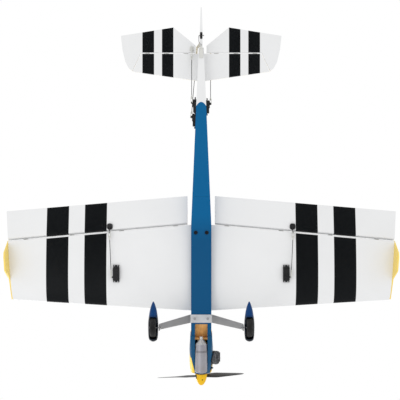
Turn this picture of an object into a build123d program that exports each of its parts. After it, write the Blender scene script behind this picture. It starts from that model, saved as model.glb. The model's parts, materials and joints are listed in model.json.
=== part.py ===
from build123d import *
import math
import os

os.makedirs("parts", exist_ok=True)

# Radio-controlled sport aerobatic aeroplane with a glow engine, in millimetres.
# It is drawn level: +X is its left wing, +Y is aft, +Z is up, Z = 0 is the wing's chord plane and
# Y = 0 is near the wing root's leading edge. At the end everything is tilted on to its three wheels.

# ---------------------------------------------------------------- driving dimensions
# wing
WING_LE_ROOT, WING_LE_SWEEP = -2.0, 0.0594
WING_TE_ROOT, WING_TE_SWEEP = 362.4, -0.0857
AILERON_HINGE_ROOT, AILERON_HINGE_SWEEP = 272.0, -0.0893
WING_TIP_LE = (589.0, 33.0)
WING_TIP_TE = (610.0, 310.0)
WING_THICKNESS_RATIO = 0.145
WING_SKIN = 1.2
AILERON_INNER_X = 42.0
AILERON_BEVEL_DEG = 28.0
RIB_STATIONS = (40, 118, 196, 232, 290, 368, 446, 524, 580)

# fuselage
BODY_HALF_WIDTH = 31.3
BODY_TAPER_START, BODY_END = 268.0, 823.0
BODY_END_HALF_WIDTH = 8.0
BELLY_Z, BELLY_END_Z = -45.0, -8.0
DECK_Z, DECK_END_Z = 62.0, 48.0
FIREWALL_Y, FIREWALL_THICKNESS = -85.0, 6.0
BODY_SKIN = 2.5
OUTLET_HALF_WIDTH, OUTLET_END_Y = 19.4, -36.0

# engine and nose
THRUST_Z = 12.0
CYLINDER_Y = -145.0
CYLINDER_ROLL_DEG = 30.0
HEAD_RADIUS = 21.0
MUFFLER_Z, MUFFLER_RADIUS = -47.0, 18.3
MUFFLER_FRONT = -184.5
PROP_Y, PROP_DIAMETER = -207.0, 279.0
SPINNER_BASE_Y, SPINNER_TIP_Y, SPINNER_RADIUS = -201.0, -238.0, 19.0
COWL_REAR, COWL_FRONT = -72.0, -193.0
COWL_HALF_WIDTH = 36.6
COWL_SKIN = 1.5

# undercarriage
AXLE_X, AXLE_Y, AXLE_Z = 142.0, -29.0, -160.0
WHEEL_RADIUS, WHEEL_WIDTH = 28.5, 18.0
GEAR_PLATE_Y, GEAR_PLATE_WIDTH, GEAR_THICKNESS = -19.0, 25.0, 3.0
PANT_WIDTH, PANT_FRONT, PANT_REAR = 29.6, -71.0, 46.0
TAIL_AXLE_Y, TAIL_AXLE_Z, TAIL_WHEEL_RADIUS = 855.0, -38.0, 10.5

# tail
TAIL_Z, TAIL_THICKNESS = 25.0, 8.0
ELEVATOR_HINGE_Y = 810.6
STAB_LE_ROOT = 722.0
RUDDER_HINGE_Y = 829.0
RUDDER_BOTTOM_Z, FIN_TOP_Z = -7.0, 212.0
RUDDER_TE_Y = 958.0

# controls
ARM_RADIUS = 14.0
SERVO_LENGTH, SERVO_WIDTH, SERVO_LUG_SPAN = 40.0, 20.0, 54.0
AILERON_SERVO_X, AILERON_SERVO_SHAFT_Y = 264.0, 108.0
AILERON_HORN_X = 285.0
ELEVATOR_SERVO_Y, RUDDER_SERVO_Y = 652.0, 610.0
LEFT_ELEVATOR_SERVO_Z, RIGHT_ELEVATOR_SERVO_Z, RUDDER_SERVO_Z = 4.0, 32.0, 30.0
RUDDER_HORN_X = 14.0

RUNNING = 0.06   # radial clearance of a running fit
AIR = 0.4        # least distance between pieces of different bodies
GLUE = 0.05      # joint line between pieces of one body

# ---------------------------------------------------------------- helpers


def block(x0, x1, y0, y1, z0, z1):
    """A box between two corners."""
    middle = ((x0 + x1) / 2, (y0 + y1) / 2, (z0 + z1) / 2)
    return Pos(*middle) * Box(abs(x1 - x0), abs(y1 - y0), abs(z1 - z0))


def rod(start, end, radius):
    """A round bar from one point to another."""
    start, end = Vector(*start), Vector(*end)
    plane = Plane(origin=start, z_dir=(end - start).normalized())
    return extrude(plane * Circle(radius), (end - start).length)


def tube(start, end, outer, inner):
    """A round tube from one point to another, cut clean through."""
    a, b = Vector(*start), Vector(*end)
    along = (b - a).normalized()
    return rod(start, end, outer) - rod(tuple(a - along), tuple(b + along), inner)


def plan_plate(points, z0, z1):
    """A flat plate with a plan outline given as (x, y) points."""
    return extrude(Plane.XY.offset(z0) * make_face(Polyline(*points, close=True)), z1 - z0)


def side_plate(points, x0, x1):
    """A plate across X with a side outline given as (y, z) points."""
    face = Plane.YZ.offset(x0) * make_face(Polyline(*points, close=True))
    return extrude(face, x1 - x0)


def ring_loft(sections):
    """A ruled solid through closed outlines, each a list of points in space."""
    faces = [Face(Wire.make_polygon([Vector(*p) for p in points], close=True)) for points in sections]
    return loft(faces, ruled=True)


def mirrored(shape):
    """The same piece on the other side of the aeroplane."""
    return mirror(shape, about=Plane.YZ)


def both_sides(shape):
    return [shape, mirrored(shape)]


MODEL = {}


def add(name, *shapes):
    """Collects the solids of one named piece."""
    solids = []
    for shape in shapes:
        for item in shape if isinstance(shape, (list, tuple)) else [shape]:
            solids += item.solids()
    MODEL.setdefault(name, []).extend(solids)


# ---------------------------------------------------------------- wing


def wing_le(x):
    return WING_LE_ROOT + WING_LE_SWEEP * abs(x)


def wing_te(x):
    return WING_TE_ROOT + WING_TE_SWEEP * abs(x)


def hinge_y(x):
    return AILERON_HINGE_ROOT + AILERON_HINGE_SWEEP * abs(x)


def half_thickness(x, y):
    """Half the height of the symmetric wing section at a place in plan."""
    chord = wing_te(x) - wing_le(x)
    t = min(max((y - wing_le(x)) / chord, 0.0), 1.0)
    shape = 0.2969 * t**0.5 - 0.1260 * t - 0.3516 * t**2 + 0.2843 * t**3 - 0.1036 * t**4
    return 5 * WING_THICKNESS_RATIO * chord * shape


def tip_x(y):
    """Where the slanted wing tip lies at a chordwise place."""
    (x0, y0), (x1, y1) = WING_TIP_LE, WING_TIP_TE
    return x0 + (x1 - x0) * (y - y0) / (y1 - y0)


SECTION_STEPS = (0.0, 0.004, 0.015, 0.04, 0.08, 0.14, 0.22, 0.32, 0.44, 0.58, 0.74, 0.88, 1.0)


def wing_section(x, inset, rear):
    """The wing's outline at one station, inset all round and cut off at a rear line."""
    front = wing_le(x) + inset
    top = []
    for step in SECTION_STEPS[1:]:
        y = front + (rear - front) * step
        top.append((x, y, max(half_thickness(x, y) - inset * 1.04, 0.3)))
    lower = [(x, y, -z) for x, y, z in reversed(top)]
    return [(x, front, 0.0)] + top + lower


def wing_solid(inset, rear_line, x_end=640.0):
    """Both halves of the wing as one closed form."""
    stations = (-x_end, 0.0, x_end)
    return ring_loft([wing_section(x, inset, rear_line(x)) for x in stations])


def tip_cutter(gap):
    """Everything outboard of the slanted wing tip, on the left side."""
    points = [(tip_x(y) - gap, y) for y in (-60.0, 420.0)]
    return plan_plate(points + [(760.0, 420.0), (760.0, -60.0)], -90, 90)


def trimmed(shape, gap=0.0):
    cutter = tip_cutter(gap)
    return shape - cutter - mirrored(cutter)


def hinge_plate(points_x, ahead, behind, z=90.0):
    """A plan region running along the aileron hinge line of the left wing."""
    low, high = points_x
    points = [(low, hinge_y(low) + ahead), (high, hinge_y(high) + ahead)]
    points += [(high, hinge_y(high) + behind), (low, hinge_y(low) + behind)]
    return plan_plate(points, -z, z)


AILERON_END_X = 640.0
outer_wing = trimmed(wing_solid(0.0, lambda x: wing_te(x) - 3.0))
BODY_TAPER = (BODY_HALF_WIDTH - BODY_END_HALF_WIDTH) / (BODY_END - BODY_TAPER_START)
bay_points = [(BODY_HALF_WIDTH + 0.1, hinge_y(BODY_HALF_WIDTH) - 0.6)]
bay_points += [(AILERON_END_X, hinge_y(AILERON_END_X) - 0.6), (AILERON_END_X, 420.0)]
bay_points += [(BODY_HALF_WIDTH + 0.1 - BODY_TAPER * (420.0 - BODY_TAPER_START), 420.0)]
aileron_bay = plan_plate(bay_points, -90, 90)
for side in both_sides(aileron_bay):
    outer_wing = outer_wing - side

inner_wing = trimmed(wing_solid(WING_SKIN, lambda x: hinge_y(x) - 4.0), 3.0)
centre_cavity = wing_solid(WING_SKIN, lambda x: wing_te(x) - 20.0) & block(-24, 24, 200, 400, -60, 60)
wing_skin = outer_wing - inner_wing - centre_cavity

# ribs with lightening holes, a main spar and a rear spar, all inside the skin
rib_core = trimmed(wing_solid(WING_SKIN + GLUE, lambda x: hinge_y(x) - 4.0 - GLUE), 3.0 + GLUE)
MAIN_SPAR_Y, SPAR_THICKNESS, RIB_THICKNESS = 96.0, 3.0, 2.0
spar_slot = block(-570, 570, MAIN_SPAR_Y, MAIN_SPAR_Y + SPAR_THICKNESS, -40, 40)


def rib(x):
    slab = block(x - RIB_THICKNESS / 2, x + RIB_THICKNESS / 2, -10, 330, -60, 60)
    holes = [
        rod((x - 5, y, 0), (x + 5, y, 0), half_thickness(x, y) * 0.52)
        for y in (wing_le(x) + 0.14 * 300, wing_le(x) + 0.46 * 300, wing_le(x) + 0.62 * 300)
    ]
    piece = rib_core & slab
    for hole in holes:
        piece = piece - hole
    return piece - spar_slot


servo_bay = block(
    AILERON_SERVO_X - SERVO_WIDTH / 2 - 0.4,
    AILERON_SERVO_X + SERVO_WIDTH / 2 + 0.4,
    AILERON_SERVO_SHAFT_Y - 10.4,
    AILERON_SERVO_SHAFT_Y + SERVO_LENGTH - 9.6,
    -60,
    12,
)
BAY_X = [s * x for x in RIB_STATIONS for s in (1, -1)]
add("wing_frame", [rib(x) for x in BAY_X], rib(0.0))
add("wing_frame", (rib_core & spar_slot) - servo_bay - mirrored(servo_bay))

# ---------------------------------------------------------------- hinges

LEAF, LEAF_THICKNESS, BARREL_RADIUS, PIN_RADIUS = 13.0, 0.8, 1.5, 0.7


def hinge_set(centre, along, forward, up, deep=LEAF):
    """A pinned hinge: the fixed leaf, the moving leaf, the pin and the slots they are glued into."""
    centre, along = Vector(*centre), Vector(*along).normalized()
    forward, up = Vector(*forward).normalized(), Vector(*up).normalized()
    place = Plane(origin=centre, x_dir=along, z_dir=up).location

    def bar(low, high, radius):
        return rod(tuple(centre + along * low), tuple(centre + along * high), radius)

    sign = 1 if (up.cross(along)).dot(forward) > 0 else -1
    bore = bar(-9, 9, PIN_RADIUS + RUNNING)
    fixed = place * (Pos(0, sign * deep / 2, 0) * Box(5.4, deep, LEAF_THICKNESS))
    fixed = fixed + bar(-2.7, 2.7, BARREL_RADIUS)
    fork = place * (Pos(0, -sign * (deep + 4) / 2, 0) * Box(13.4, deep - 4, LEAF_THICKNESS))
    for low in (-6.7, 3.1):
        fork = fork + bar(low, low + 3.6, BARREL_RADIUS)
        fork = fork + place * (Pos(low + 1.8, -sign * 3, 0) * Box(3.6, 6, LEAF_THICKNESS))
    slot = place * Box(14.4, 2 * deep + 0.2, LEAF_THICKNESS + 2 * GLUE)
    return fixed - bore, fork - bore, bar(-7.2, 7.2, PIN_RADIUS), slot, bar(-8.0, 8.0, BARREL_RADIUS + AIR)


def hinge_row(name, places, along, forward, up):
    """Several hinges on one line; gives back the slots and barrel clearances as one cutter list."""
    cutters = []
    for centre in places:
        fixed, moving, pin, slot, room = hinge_set(centre, along, forward, up)
        add("fixed_hinges", fixed)
        add("fixed_hinges", pin)
        add(name, moving)
        cutters += [slot, room]
    return cutters


def cut(shape, cutters):
    for cutter in cutters:
        shape = shape - cutter
    return shape


# ---------------------------------------------------------------- ailerons

AILERON_STATIONS = (80.0, 250.0, 405.0, 550.0)


def aileron_outline(x, inset):
    """A wedge section: bevelled front edge, shoulders and a thin trailing edge."""
    front = hinge_y(x) + 0.8
    height = half_thickness(x, front)
    shoulder = front + height * math.tan(math.radians(AILERON_BEVEL_DEG))
    rear, rear_height = wing_te(x), 0.9
    if inset:
        front, shoulder, height = front + 4.5, shoulder + inset, height - inset - 0.4
        rear, rear_height = rear - 26.0, 2.2
    points = [(front, 0.0), (shoulder, height), (rear, rear_height)]
    points += [(rear, -rear_height), (shoulder, -height)]
    return [(x, y, z) for y, z in points]


def aileron_solid(low, high, inset):
    return ring_loft([aileron_outline(low, inset), aileron_outline(high, inset)])


left_cutters, wing_cutters = [], []
for sign, side in ((1, "left"), (-1, "right")):
    places = [(sign * x, hinge_y(x), 0.0) for x in AILERON_STATIONS]
    axis = (sign, AILERON_HINGE_SWEEP, 0.0)
    got = hinge_row(f"{side}_aileron_fittings", places, axis, (0, -1, 0), (0, 0, 1))
    wing_cutters += got
    if sign > 0:
        left_cutters = got

aileron = aileron_solid(AILERON_INNER_X + 1.0, AILERON_END_X, 0.0) - tip_cutter(0.0)
aileron_hollow = aileron_solid(AILERON_INNER_X + 4.0, 590.0, WING_SKIN)
left_aileron = cut(aileron - aileron_hollow, left_cutters)

wing_skin = cut(wing_skin, wing_cutters)
wing_skin = cut(wing_skin, both_sides(servo_bay))

# ---------------------------------------------------------------- servos and control linkages


PIN_HOLE = 1.1  # hole that a clevis pin turns in
ARM_OUT = 13.1  # from a servo's lug plane to the middle of its arm


def servo(mount, out, along):
    """A standard servo. mount is the shaft's place on the lug plane, out points along the shaft,
    along points from the shaft to the far end of the case. Gives the case solids."""
    mount = Vector(*mount)
    place = Plane(origin=mount, x_dir=Vector(*along), z_dir=Vector(*out)).location
    middle = SERVO_LENGTH / 2 - 10.0
    case = Pos(middle, 0, -13.5) * Box(SERVO_LENGTH, SERVO_WIDTH, 27.0)
    case = fillet(case.edges().filter_by(Axis.Z), 1.2)
    lugs = Pos(middle, 0, 1.25) * Box(SERVO_LUG_SPAN, SERVO_WIDTH - 1, 2.5)
    for end in (-1, 1):
        for row in (-1, 1):
            lugs = lugs - Pos(middle + end * 24.6, row * 5.0, 1.25) * Cylinder(2.2, 4)
    top = Pos(middle, 0, 5.5) * Box(SERVO_LENGTH, SERVO_WIDTH, 6.0)
    top = fillet(top.edges().filter_by(Axis.Z), 1.2)
    tower = Pos(3.0, 0, 9.5) * Box(21, 14, 2.0) + Pos(0, 0, 9.5) * Cylinder(7.0, 2.0)
    spline = Pos(0, 0, 12.2) * Cylinder(2.4, 3.4)
    screws = []
    for end in (-1, 1):
        for row in (-1, 1):
            spot = Pos(middle + end * 24.6, row * 5.0, 0)
            screws.append(spot * (Pos(0, 0, 3.3) * Cylinder(2.1, 1.5) + Pos(0, 0, 1.5) * Cylinder(1.0, 2.9)))
    return place * (case + lugs + top + tower + spline), [place * s for s in screws]


def servo_arm(mount, out, pointing):
    """A single moulded arm on the servo's spline, with a hole for the clevis at its tip."""
    mount = Vector(*mount)
    place = Plane(origin=mount, x_dir=Vector(*pointing), z_dir=Vector(*out)).location
    hub = Pos(0, 0, 12.6) * Cylinder(4.0, 3.2)
    blade = loft(
        [
            Plane.YZ.offset(2.0) * Pos(0, 13.1) * Rectangle(7.0, 2.0),
            Plane.YZ.offset(ARM_RADIUS + 2.0) * Pos(0, 13.1) * Rectangle(4.2, 2.0),
        ]
    )
    arm = hub + blade - Pos(0, 0, 12.0) * Cylinder(2.4 + GLUE, 4.4)
    arm = arm - Pos(ARM_RADIUS, 0, 13.1) * Cylinder(PIN_HOLE, 6)
    screw = Pos(0, 0, 14.85) * Cylinder(2.2, 1.2)
    return [place * arm, place * screw]


def clevis(tip, towards, pin_axis, gap=3.0, pin=0.8):
    """A forked clevis whose pin is at tip; its shank points towards the rod."""
    tip, towards = Vector(*tip), Vector(*towards).normalized()
    pin_line = Vector(*pin_axis) - towards * Vector(*pin_axis).dot(towards)
    place = Plane(origin=tip, x_dir=towards, z_dir=pin_line).location
    arms = []
    for side in (-1, 1):
        arms.append(Pos(5.5, 0, side * (gap / 2 + 0.7)) * Box(15.0, 4.0, 1.4))
    fork = arms[0] + arms[1] + Pos(14.5, 0, 0) * Box(5.0, 4.6, gap + 2.8)
    fork = fork + Pos(0, 0, 0) * Cylinder(pin, gap + 2.8)
    fork = fork + Pos(19.5, 0, 0) * (Rot(0, 90, 0) * Cylinder(2.0, 6.0))
    bore = Pos(19.0, 0, 0) * (Rot(0, 90, 0) * Cylinder(1.0, 12.0))
    return place * (fork - bore)


def pushrod(name, start, end, start_pin, end_pin, end_gap=3.0, end_pin_radius=0.8):
    """A steel rod with a clevis at each end."""
    a, b = Vector(*start), Vector(*end)
    along = (b - a).normalized()
    add(name, clevis(start, tuple(along), start_pin))
    add(name, clevis(end, tuple(-along), end_pin, end_gap, end_pin_radius))
    add(name, rod(tuple(a + along * 15.0), tuple(b - along * 15.0), 0.95))


def horn(base, outward, forward, height, hole_room, base_size=(14.0, 20.0), back=0.0):
    """A moulded control horn: a screwed base and an upright blade with the clevis hole at its tip.
    base is on the surface, outward leaves the surface, forward points to the hinge line."""
    place = Plane(origin=Vector(*base), x_dir=Vector(*forward), z_dir=Vector(*outward)).location
    width, length = base_size
    foot = Pos(-length / 2 + 3.0 - back, 0, 1.0) * Box(length, width, 2.0)
    foot = fillet(foot.edges().filter_by(Axis.Z), min(width, length) / 2 - 1.0)
    profile = [(-12.0 - back, 1.0), (3.0 - back, 1.0), (3.4, height + 2.4), (-3.4, height + 2.4)]
    blade = extrude(Plane.XZ.offset(0.8) * make_face(Polyline(*profile, close=True)), -1.6)
    horn_solid = foot + blade - (Rot(90, 0, 0) * Pos(0, height, 0) * Cylinder(hole_room, 6))
    screws = []
    for x, y in ((-length + 6.0 - back, width / 2 - 3), (-length + 6.0 - back, 3 - width / 2)):
        screws.append(Pos(x, y, 2.75) * Cylinder(1.7, 1.4))
    return [place * horn_solid] + [place * s for s in screws]


# aileron linkages: the shaft points down, the arm points outboard, the rod runs aft to the horn
aileron_lug_z = -half_thickness(AILERON_SERVO_X, AILERON_SERVO_SHAFT_Y) - 0.6
AILERON_HORN_RADIUS, AILERON_THROW_DEG = 24.0, 15.0
AILERON_SERVO_RATIO = AILERON_HORN_RADIUS / ARM_RADIUS
aileron_arm_tip = (AILERON_SERVO_X + ARM_RADIUS, AILERON_SERVO_SHAFT_Y, aileron_lug_z - ARM_OUT)
aileron_horn_hole = (AILERON_HORN_X, hinge_y(AILERON_HORN_X), -AILERON_HORN_RADIUS)
AILERON_SWAY = ARM_RADIUS * (1 - math.cos(math.radians(AILERON_THROW_DEG * AILERON_SERVO_RATIO))) / 2
AILERON_LIFT = AILERON_HORN_RADIUS * (1 - math.cos(math.radians(AILERON_THROW_DEG))) / 2
AILERON_DRIFT = AILERON_HORN_RADIUS * math.sin(math.radians(AILERON_THROW_DEG)) * abs(AILERON_HINGE_SWEEP)


def flip(point):
    return (-point[0], point[1], point[2])


def aileron_linkage(sign):
    side = "left" if sign > 0 else "right"
    turn = (lambda p: p) if sign > 0 else flip
    mount = turn((AILERON_SERVO_X, AILERON_SERVO_SHAFT_Y, aileron_lug_z))
    case, screws = servo(mount, (0, 0, -1), (0, 1, 0))
    add("aileron_servos", case)
    add("screws_and_bolts", screws)
    add(f"{side}_aileron_servo_arm", servo_arm(mount, (0, 0, -1), turn((1, 0, 0))))
    hole = aileron_horn_hole
    end = turn((hole[0] + AILERON_SWAY, hole[1], hole[2] + AILERON_LIFT))
    name = f"{side}_aileron_pushrod"
    pushrod(name, turn(aileron_arm_tip), end, (0, 0, 1), (1, 0, 0), 2.3 + 2 * (AILERON_SWAY + AILERON_DRIFT))


aileron_surface_z = -half_thickness(AILERON_HORN_X, hinge_y(AILERON_HORN_X) + 0.8) - 0.1
left_horn = horn(
    (AILERON_HORN_X, aileron_horn_hole[1] + 0.0, aileron_surface_z - 0.2),
    (0, 0, -1),
    (0, -1, 0),
    AILERON_HORN_RADIUS + aileron_surface_z + 0.2,
    0.8 + AILERON_LIFT + 0.5,
    (18.0, 20.0),
    back=10.0,
)
for sign in (1, -1):
    aileron_linkage(sign)
add("left_aileron_fittings", left_horn)
add("right_aileron_fittings", [mirrored(s) for s in left_horn])
add("left_aileron", left_aileron)
add("right_aileron", mirrored(left_aileron))

# ---------------------------------------------------------------- wing-tip plates

TIP_PLATE = [(219.5, 0.0), (187.0, 66.0), (172.0, 73.0), (130.0, 74.0), (101.0, 22.0), (36.0, 5.0)]
TIP_PLATE_THICKNESS = 4.0
tip_outline = TIP_PLATE + [(y, -z) for y, z in reversed(TIP_PLATE[1:])]
tip_plate = side_plate(tip_outline, 0.0, TIP_PLATE_THICKNESS)
tip_angle = math.degrees(math.atan2(WING_TIP_TE[0] - WING_TIP_LE[0], WING_TIP_TE[1] - WING_TIP_LE[1]))
tip_plate = Pos(tip_x(0.0) + GLUE, 0, 0) * Rot(0, 0, -tip_angle) * tip_plate
add("tip_plates", both_sides(tip_plate))

# ---------------------------------------------------------------- fuselage


def body_half_width(y):
    t = max(0.0, (y - BODY_TAPER_START) / (BODY_END - BODY_TAPER_START))
    return BODY_HALF_WIDTH + (BODY_END_HALF_WIDTH - BODY_HALF_WIDTH) * t


def belly_z(y):
    t = max(0.0, (y - BODY_TAPER_START) / (BODY_END - BODY_TAPER_START))
    return BELLY_Z + (BELLY_END_Z - BELLY_Z) * t


def deck_z(y):
    t = max(0.0, (y - BODY_TAPER_START) / (BODY_END - BODY_TAPER_START))
    return DECK_Z + (DECK_END_Z - DECK_Z) * t


def body_section(y, inset, chamfer):
    """The body's cross-section: square bottom corners and a chamfered deck."""
    w, low, high = body_half_width(y) - inset, belly_z(y) + inset, deck_z(y) - inset
    c = chamfer * (body_half_width(y) / BODY_HALF_WIDTH)
    points = [(-w, low), (w, low), (w, high - c), (w - c, high), (-w + c, high), (-w, high - c)]
    return [(x, y, z) for x, z in points]


def body_solid(inset, front, rear):
    stations = [front, BODY_TAPER_START, rear]
    pieces = []
    for a, b in zip(stations, stations[1:]):
        pieces.append(ring_loft([body_section(a, inset, 14.0), body_section(b, inset, 14.0)]))
    return pieces[0] + pieces[1]


body_outer = body_solid(0.0, FIREWALL_Y, BODY_END)
body_inner = body_solid(BODY_SKIN, FIREWALL_Y - 1.0, 806.0)
PAN_FRONT, PAN_REAR, PAN_TOP = 3.0, 357.0, -6.0
pan_room = block(-40, 40, PAN_FRONT, PAN_REAR, -60, PAN_TOP)
SADDLE_GAP = 0.2
wing_room = wing_solid(-SADDLE_GAP, lambda x: wing_te(x) - 2.0) & block(-45, 45, -20, 400, -60, 60)
outlet = block(-OUTLET_HALF_WIDTH, OUTLET_HALF_WIDTH, FIREWALL_Y - 1, OUTLET_END_Y, -60, -38)
COCKPIT_FRONT, COCKPIT_REAR = 40.0, 230.0
cockpit = block(-22, 22, COCKPIT_FRONT + 8, COCKPIT_REAR - 8, 40, 80)
stab_room = block(-30, 30, 715, 806, TAIL_Z - TAIL_THICKNESS / 2 - GLUE, TAIL_Z + TAIL_THICKNESS / 2 + GLUE)

elevator_lug_x = body_half_width(ELEVATOR_SERVO_Y - 37.0) + 0.1
rudder_lug_x = body_half_width(RUDDER_SERVO_Y - 37.0) + 0.1
ELEVATOR_ROD_X = elevator_lug_x + ARM_OUT
RUDDER_ARM_X = rudder_lug_x + ARM_OUT
side_bays = []
for sign, y, z in (
    (1, ELEVATOR_SERVO_Y, LEFT_ELEVATOR_SERVO_Z),
    (-1, ELEVATOR_SERVO_Y, RIGHT_ELEVATOR_SERVO_Z),
    (1, RUDDER_SERVO_Y, RUDDER_SERVO_Z),
):
    half = SERVO_WIDTH / 2 + 0.4
    side_bays.append(block(sign * 4, sign * 40, y - 30.4, y + 10.4, z - half, z + half))

fuselage = body_outer - body_inner - pan_room - wing_room - outlet - cockpit - stab_room
fuselage = cut(fuselage, side_bays)

belly_pan = (body_outer & block(-40, 40, PAN_FRONT + 0.3, PAN_REAR - 0.3, -60, PAN_TOP - 0.3))
belly_pan = belly_pan - body_solid(BODY_SKIN, -90.0, 806.0) - wing_room
PAN_BOLTS = [(17.0, 246.0), (-17.0, 246.0)]
bolt_holes = [rod((x, y, -50), (x, y, 30), 3.2) for x, y in PAN_BOLTS]
belly_pan = cut(belly_pan, bolt_holes)
wing_skin = cut(wing_skin, bolt_holes)
add("wing_skin", wing_skin)
add("belly_pan", belly_pan)
for x, y in PAN_BOLTS:
    bolt_head = rod((x, y, BELLY_Z - 2.2), (x, y, BELLY_Z - 0.1), 6.0)
    add("screws_and_bolts", bolt_head + rod((x, y, -46), (x, y, 22.3), 3.0))

# formers
FORMER = 3.0


def former(y, holes, thickness=FORMER):
    """A plywood bulkhead filling the inside of the body, with holes."""
    core = body_solid(BODY_SKIN + GLUE, FIREWALL_Y - 1.0, 806.0)
    plate = core & block(-40, 40, y, y + thickness, -60, 80)
    plate = plate - wing_room - pan_room - outlet
    for x, z, radius in holes:
        plate = plate - rod((x, y - 5, z), (x, y + 12, z), radius)
    return plate


THROTTLE_ROD_HOLE = (-17.5, 31.6, 3.5)
former_yz = [(FIREWALL_Y, FIREWALL_THICKNESS, [(0, 12, 7.0), THROTTLE_ROD_HOLE])]
former_yz += [(-4.0, FORMER, [(0, 5, 18.0), (-17.5, 38, 6.0)]), (360.0, FORMER, [(0, 5, 20.0)])]
former_yz += [(470.0, FORMER, [(0, 8, 15.0)]), (560.0, FORMER, [(0, 10, 10.0)])]
former_yz += [(690.0, FORMER, [(0, 14, 6.0)])]
for y, thickness, holes in former_yz:
    add("fuselage_formers", former(y, holes, thickness))
RAMP = [(FIREWALL_Y + 6.1, -22.0), (-39.0, -41.0), (-36.2, -41.0), (FIREWALL_Y + 6.1, -19.0)]
ramp = side_plate(RAMP, -19.2, 19.2)
add("fuselage_formers", ramp)

# canopy and its sill, over the cockpit
canopy_stations = [
    (COCKPIT_FRONT, 16.0, 2.0),
    (COCKPIT_FRONT + 45, 24.0, 26.0),
    (COCKPIT_FRONT + 95, 25.0, 36.0),
    (COCKPIT_REAR - 40, 20.0, 22.0),
    (COCKPIT_REAR, 12.0, 2.0),
]


def canopy_section(y, width, height, inset):
    w, h = width - inset, height - inset
    points = [(w * math.cos(a), h * math.sin(a)) for a in [math.pi * k / 10 for k in range(11)]]
    return [(x, y, DECK_Z + GLUE + z) for x, z in points]


def canopy_solid(inset):
    front, rear = COCKPIT_FRONT + inset, COCKPIT_REAR - inset
    sections = []
    for y, w, h in canopy_stations:
        place = front + (y - COCKPIT_FRONT) * (rear - front) / (COCKPIT_REAR - COCKPIT_FRONT)
        sections.append(canopy_section(place, w, h, inset))
    return ring_loft(sections)


add("canopy", canopy_solid(0.0) - (Pos(0, 0, -0.02) * canopy_solid(1.2)))

# ---------------------------------------------------------------- tail surfaces
half_tail = TAIL_THICKNESS / 2
STAB_TIP = [(216.0, 753.0), (191.0, 807.0)]
STAB_REAR_Y = ELEVATOR_HINGE_Y - 1.5
stab_plan = [(0.0, STAB_LE_ROOT), STAB_TIP[0], STAB_TIP[1], (190.0, STAB_REAR_Y), (0.0, STAB_REAR_Y)]
stab_left = plan_plate(stab_plan, TAIL_Z - half_tail, TAIL_Z + half_tail)
STAB_POST = 806.0

elevator_plan = [
    (17.0, ELEVATOR_HINGE_Y + 1.0),
    (192.5, ELEVATOR_HINGE_Y + 1.0),
    (194.0, 806.0),
    (218.2, 754.2),
    (230.0, 764.4),
    (240.0, 783.4),
    (249.0, 821.4),
    (254.0, 865.7),
    (87.7, 892.6),
    (17.0, 834.1),
]
elevator = plan_plate(elevator_plan, TAIL_Z - half_tail, TAIL_Z + half_tail)
# the trailing part thins towards its edge and the hinged edge is bevelled
thin = side_plate([(856.0, half_tail + 0.2), (905.0, 1.2), (905.0, 6.0), (856.0, 6.0)], -5, 260)
BEVEL = [(ELEVATOR_HINGE_Y, 0.0), (ELEVATOR_HINGE_Y + 4.5, 9.0), (ELEVATOR_HINGE_Y - 4, 9.0)]
bevel = side_plate(BEVEL, -5, 188.0)
for piece in (thin, bevel):
    elevator = elevator - Pos(0, 0, TAIL_Z) * piece - Pos(0, 0, TAIL_Z) * mirror(piece, about=Plane.XY)

ELEVATOR_HINGES = (48.0, 110.0, 170.0)
tail_cutters, left_elevator_cutters = [], []
for sign, side in ((1, "left"), (-1, "right")):
    spots = [(sign * x, ELEVATOR_HINGE_Y, TAIL_Z) for x in ELEVATOR_HINGES]
    got = hinge_row(f"{side}_elevator_fittings", spots, (sign, 0, 0), (0, -1, 0), (0, 0, 1))
    tail_cutters += got
    if sign > 0:
        left_elevator_cutters = got
elevator = cut(elevator, left_elevator_cutters)
add("left_elevator", elevator)
add("right_elevator", mirrored(elevator))

stab = stab_left + mirrored(stab_left)
stab = cut(stab, tail_cutters)
tail_slot = body_outer & block(-30, 30, STAB_POST, 830, -60, 80)
add("stabilizer", stab - tail_slot)

FIN_BASE_Z = 51.6
fin_side = [(690.0, FIN_BASE_Z), (716.0, 68.0), (772.0, 164.0), (826.6, 178.0), (826.6, FIN_BASE_Z)]
fin = side_plate(fin_side, -half_tail, half_tail) - body_outer
rudder_side = [
    (830.0, RUDDER_BOTTOM_Z),
    (830.0, 180.5),
    (771.0, 166.5),
    (776.0, 190.0),
    (792.0, 206.0),
    (815.0, FIN_TOP_Z),
    (890.0, FIN_TOP_Z),
    (934.0, 120.0),
    (RUDDER_TE_Y, 30.0),
    (953.0, 10.0),
    (920.0, RUDDER_BOTTOM_Z),
]
rudder = side_plate(rudder_side, -half_tail, half_tail)
rudder_thin = plan_plate([(half_tail + 0.2, 878.0), (1.4, 964.0), (6.0, 964.0), (6.0, 878.0)], -20, 220)
rudder_bevel = plan_plate([(0.0, 829.4), (7.0, 834.4), (7.0, 824.0)], -20, 180.0)
for piece in (rudder_thin, rudder_bevel):
    rudder = rudder - piece - mirrored(piece)
RUDDER_HINGES = (6.0, 70.0, 145.0)
spots = [(0.0, RUDDER_HINGE_Y, z) for z in RUDDER_HINGES]
rudder_cutters = hinge_row("rudder_fittings", spots, (0, 0, 1), (0, -1, 0), (1, 0, 0))
rudder = cut(rudder, rudder_cutters)
add("rudder", rudder)
fin = cut(fin, rudder_cutters)
add("fin", fin)
fuselage = cut(fuselage, rudder_cutters)
add("fuselage_shell", fuselage)

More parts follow.
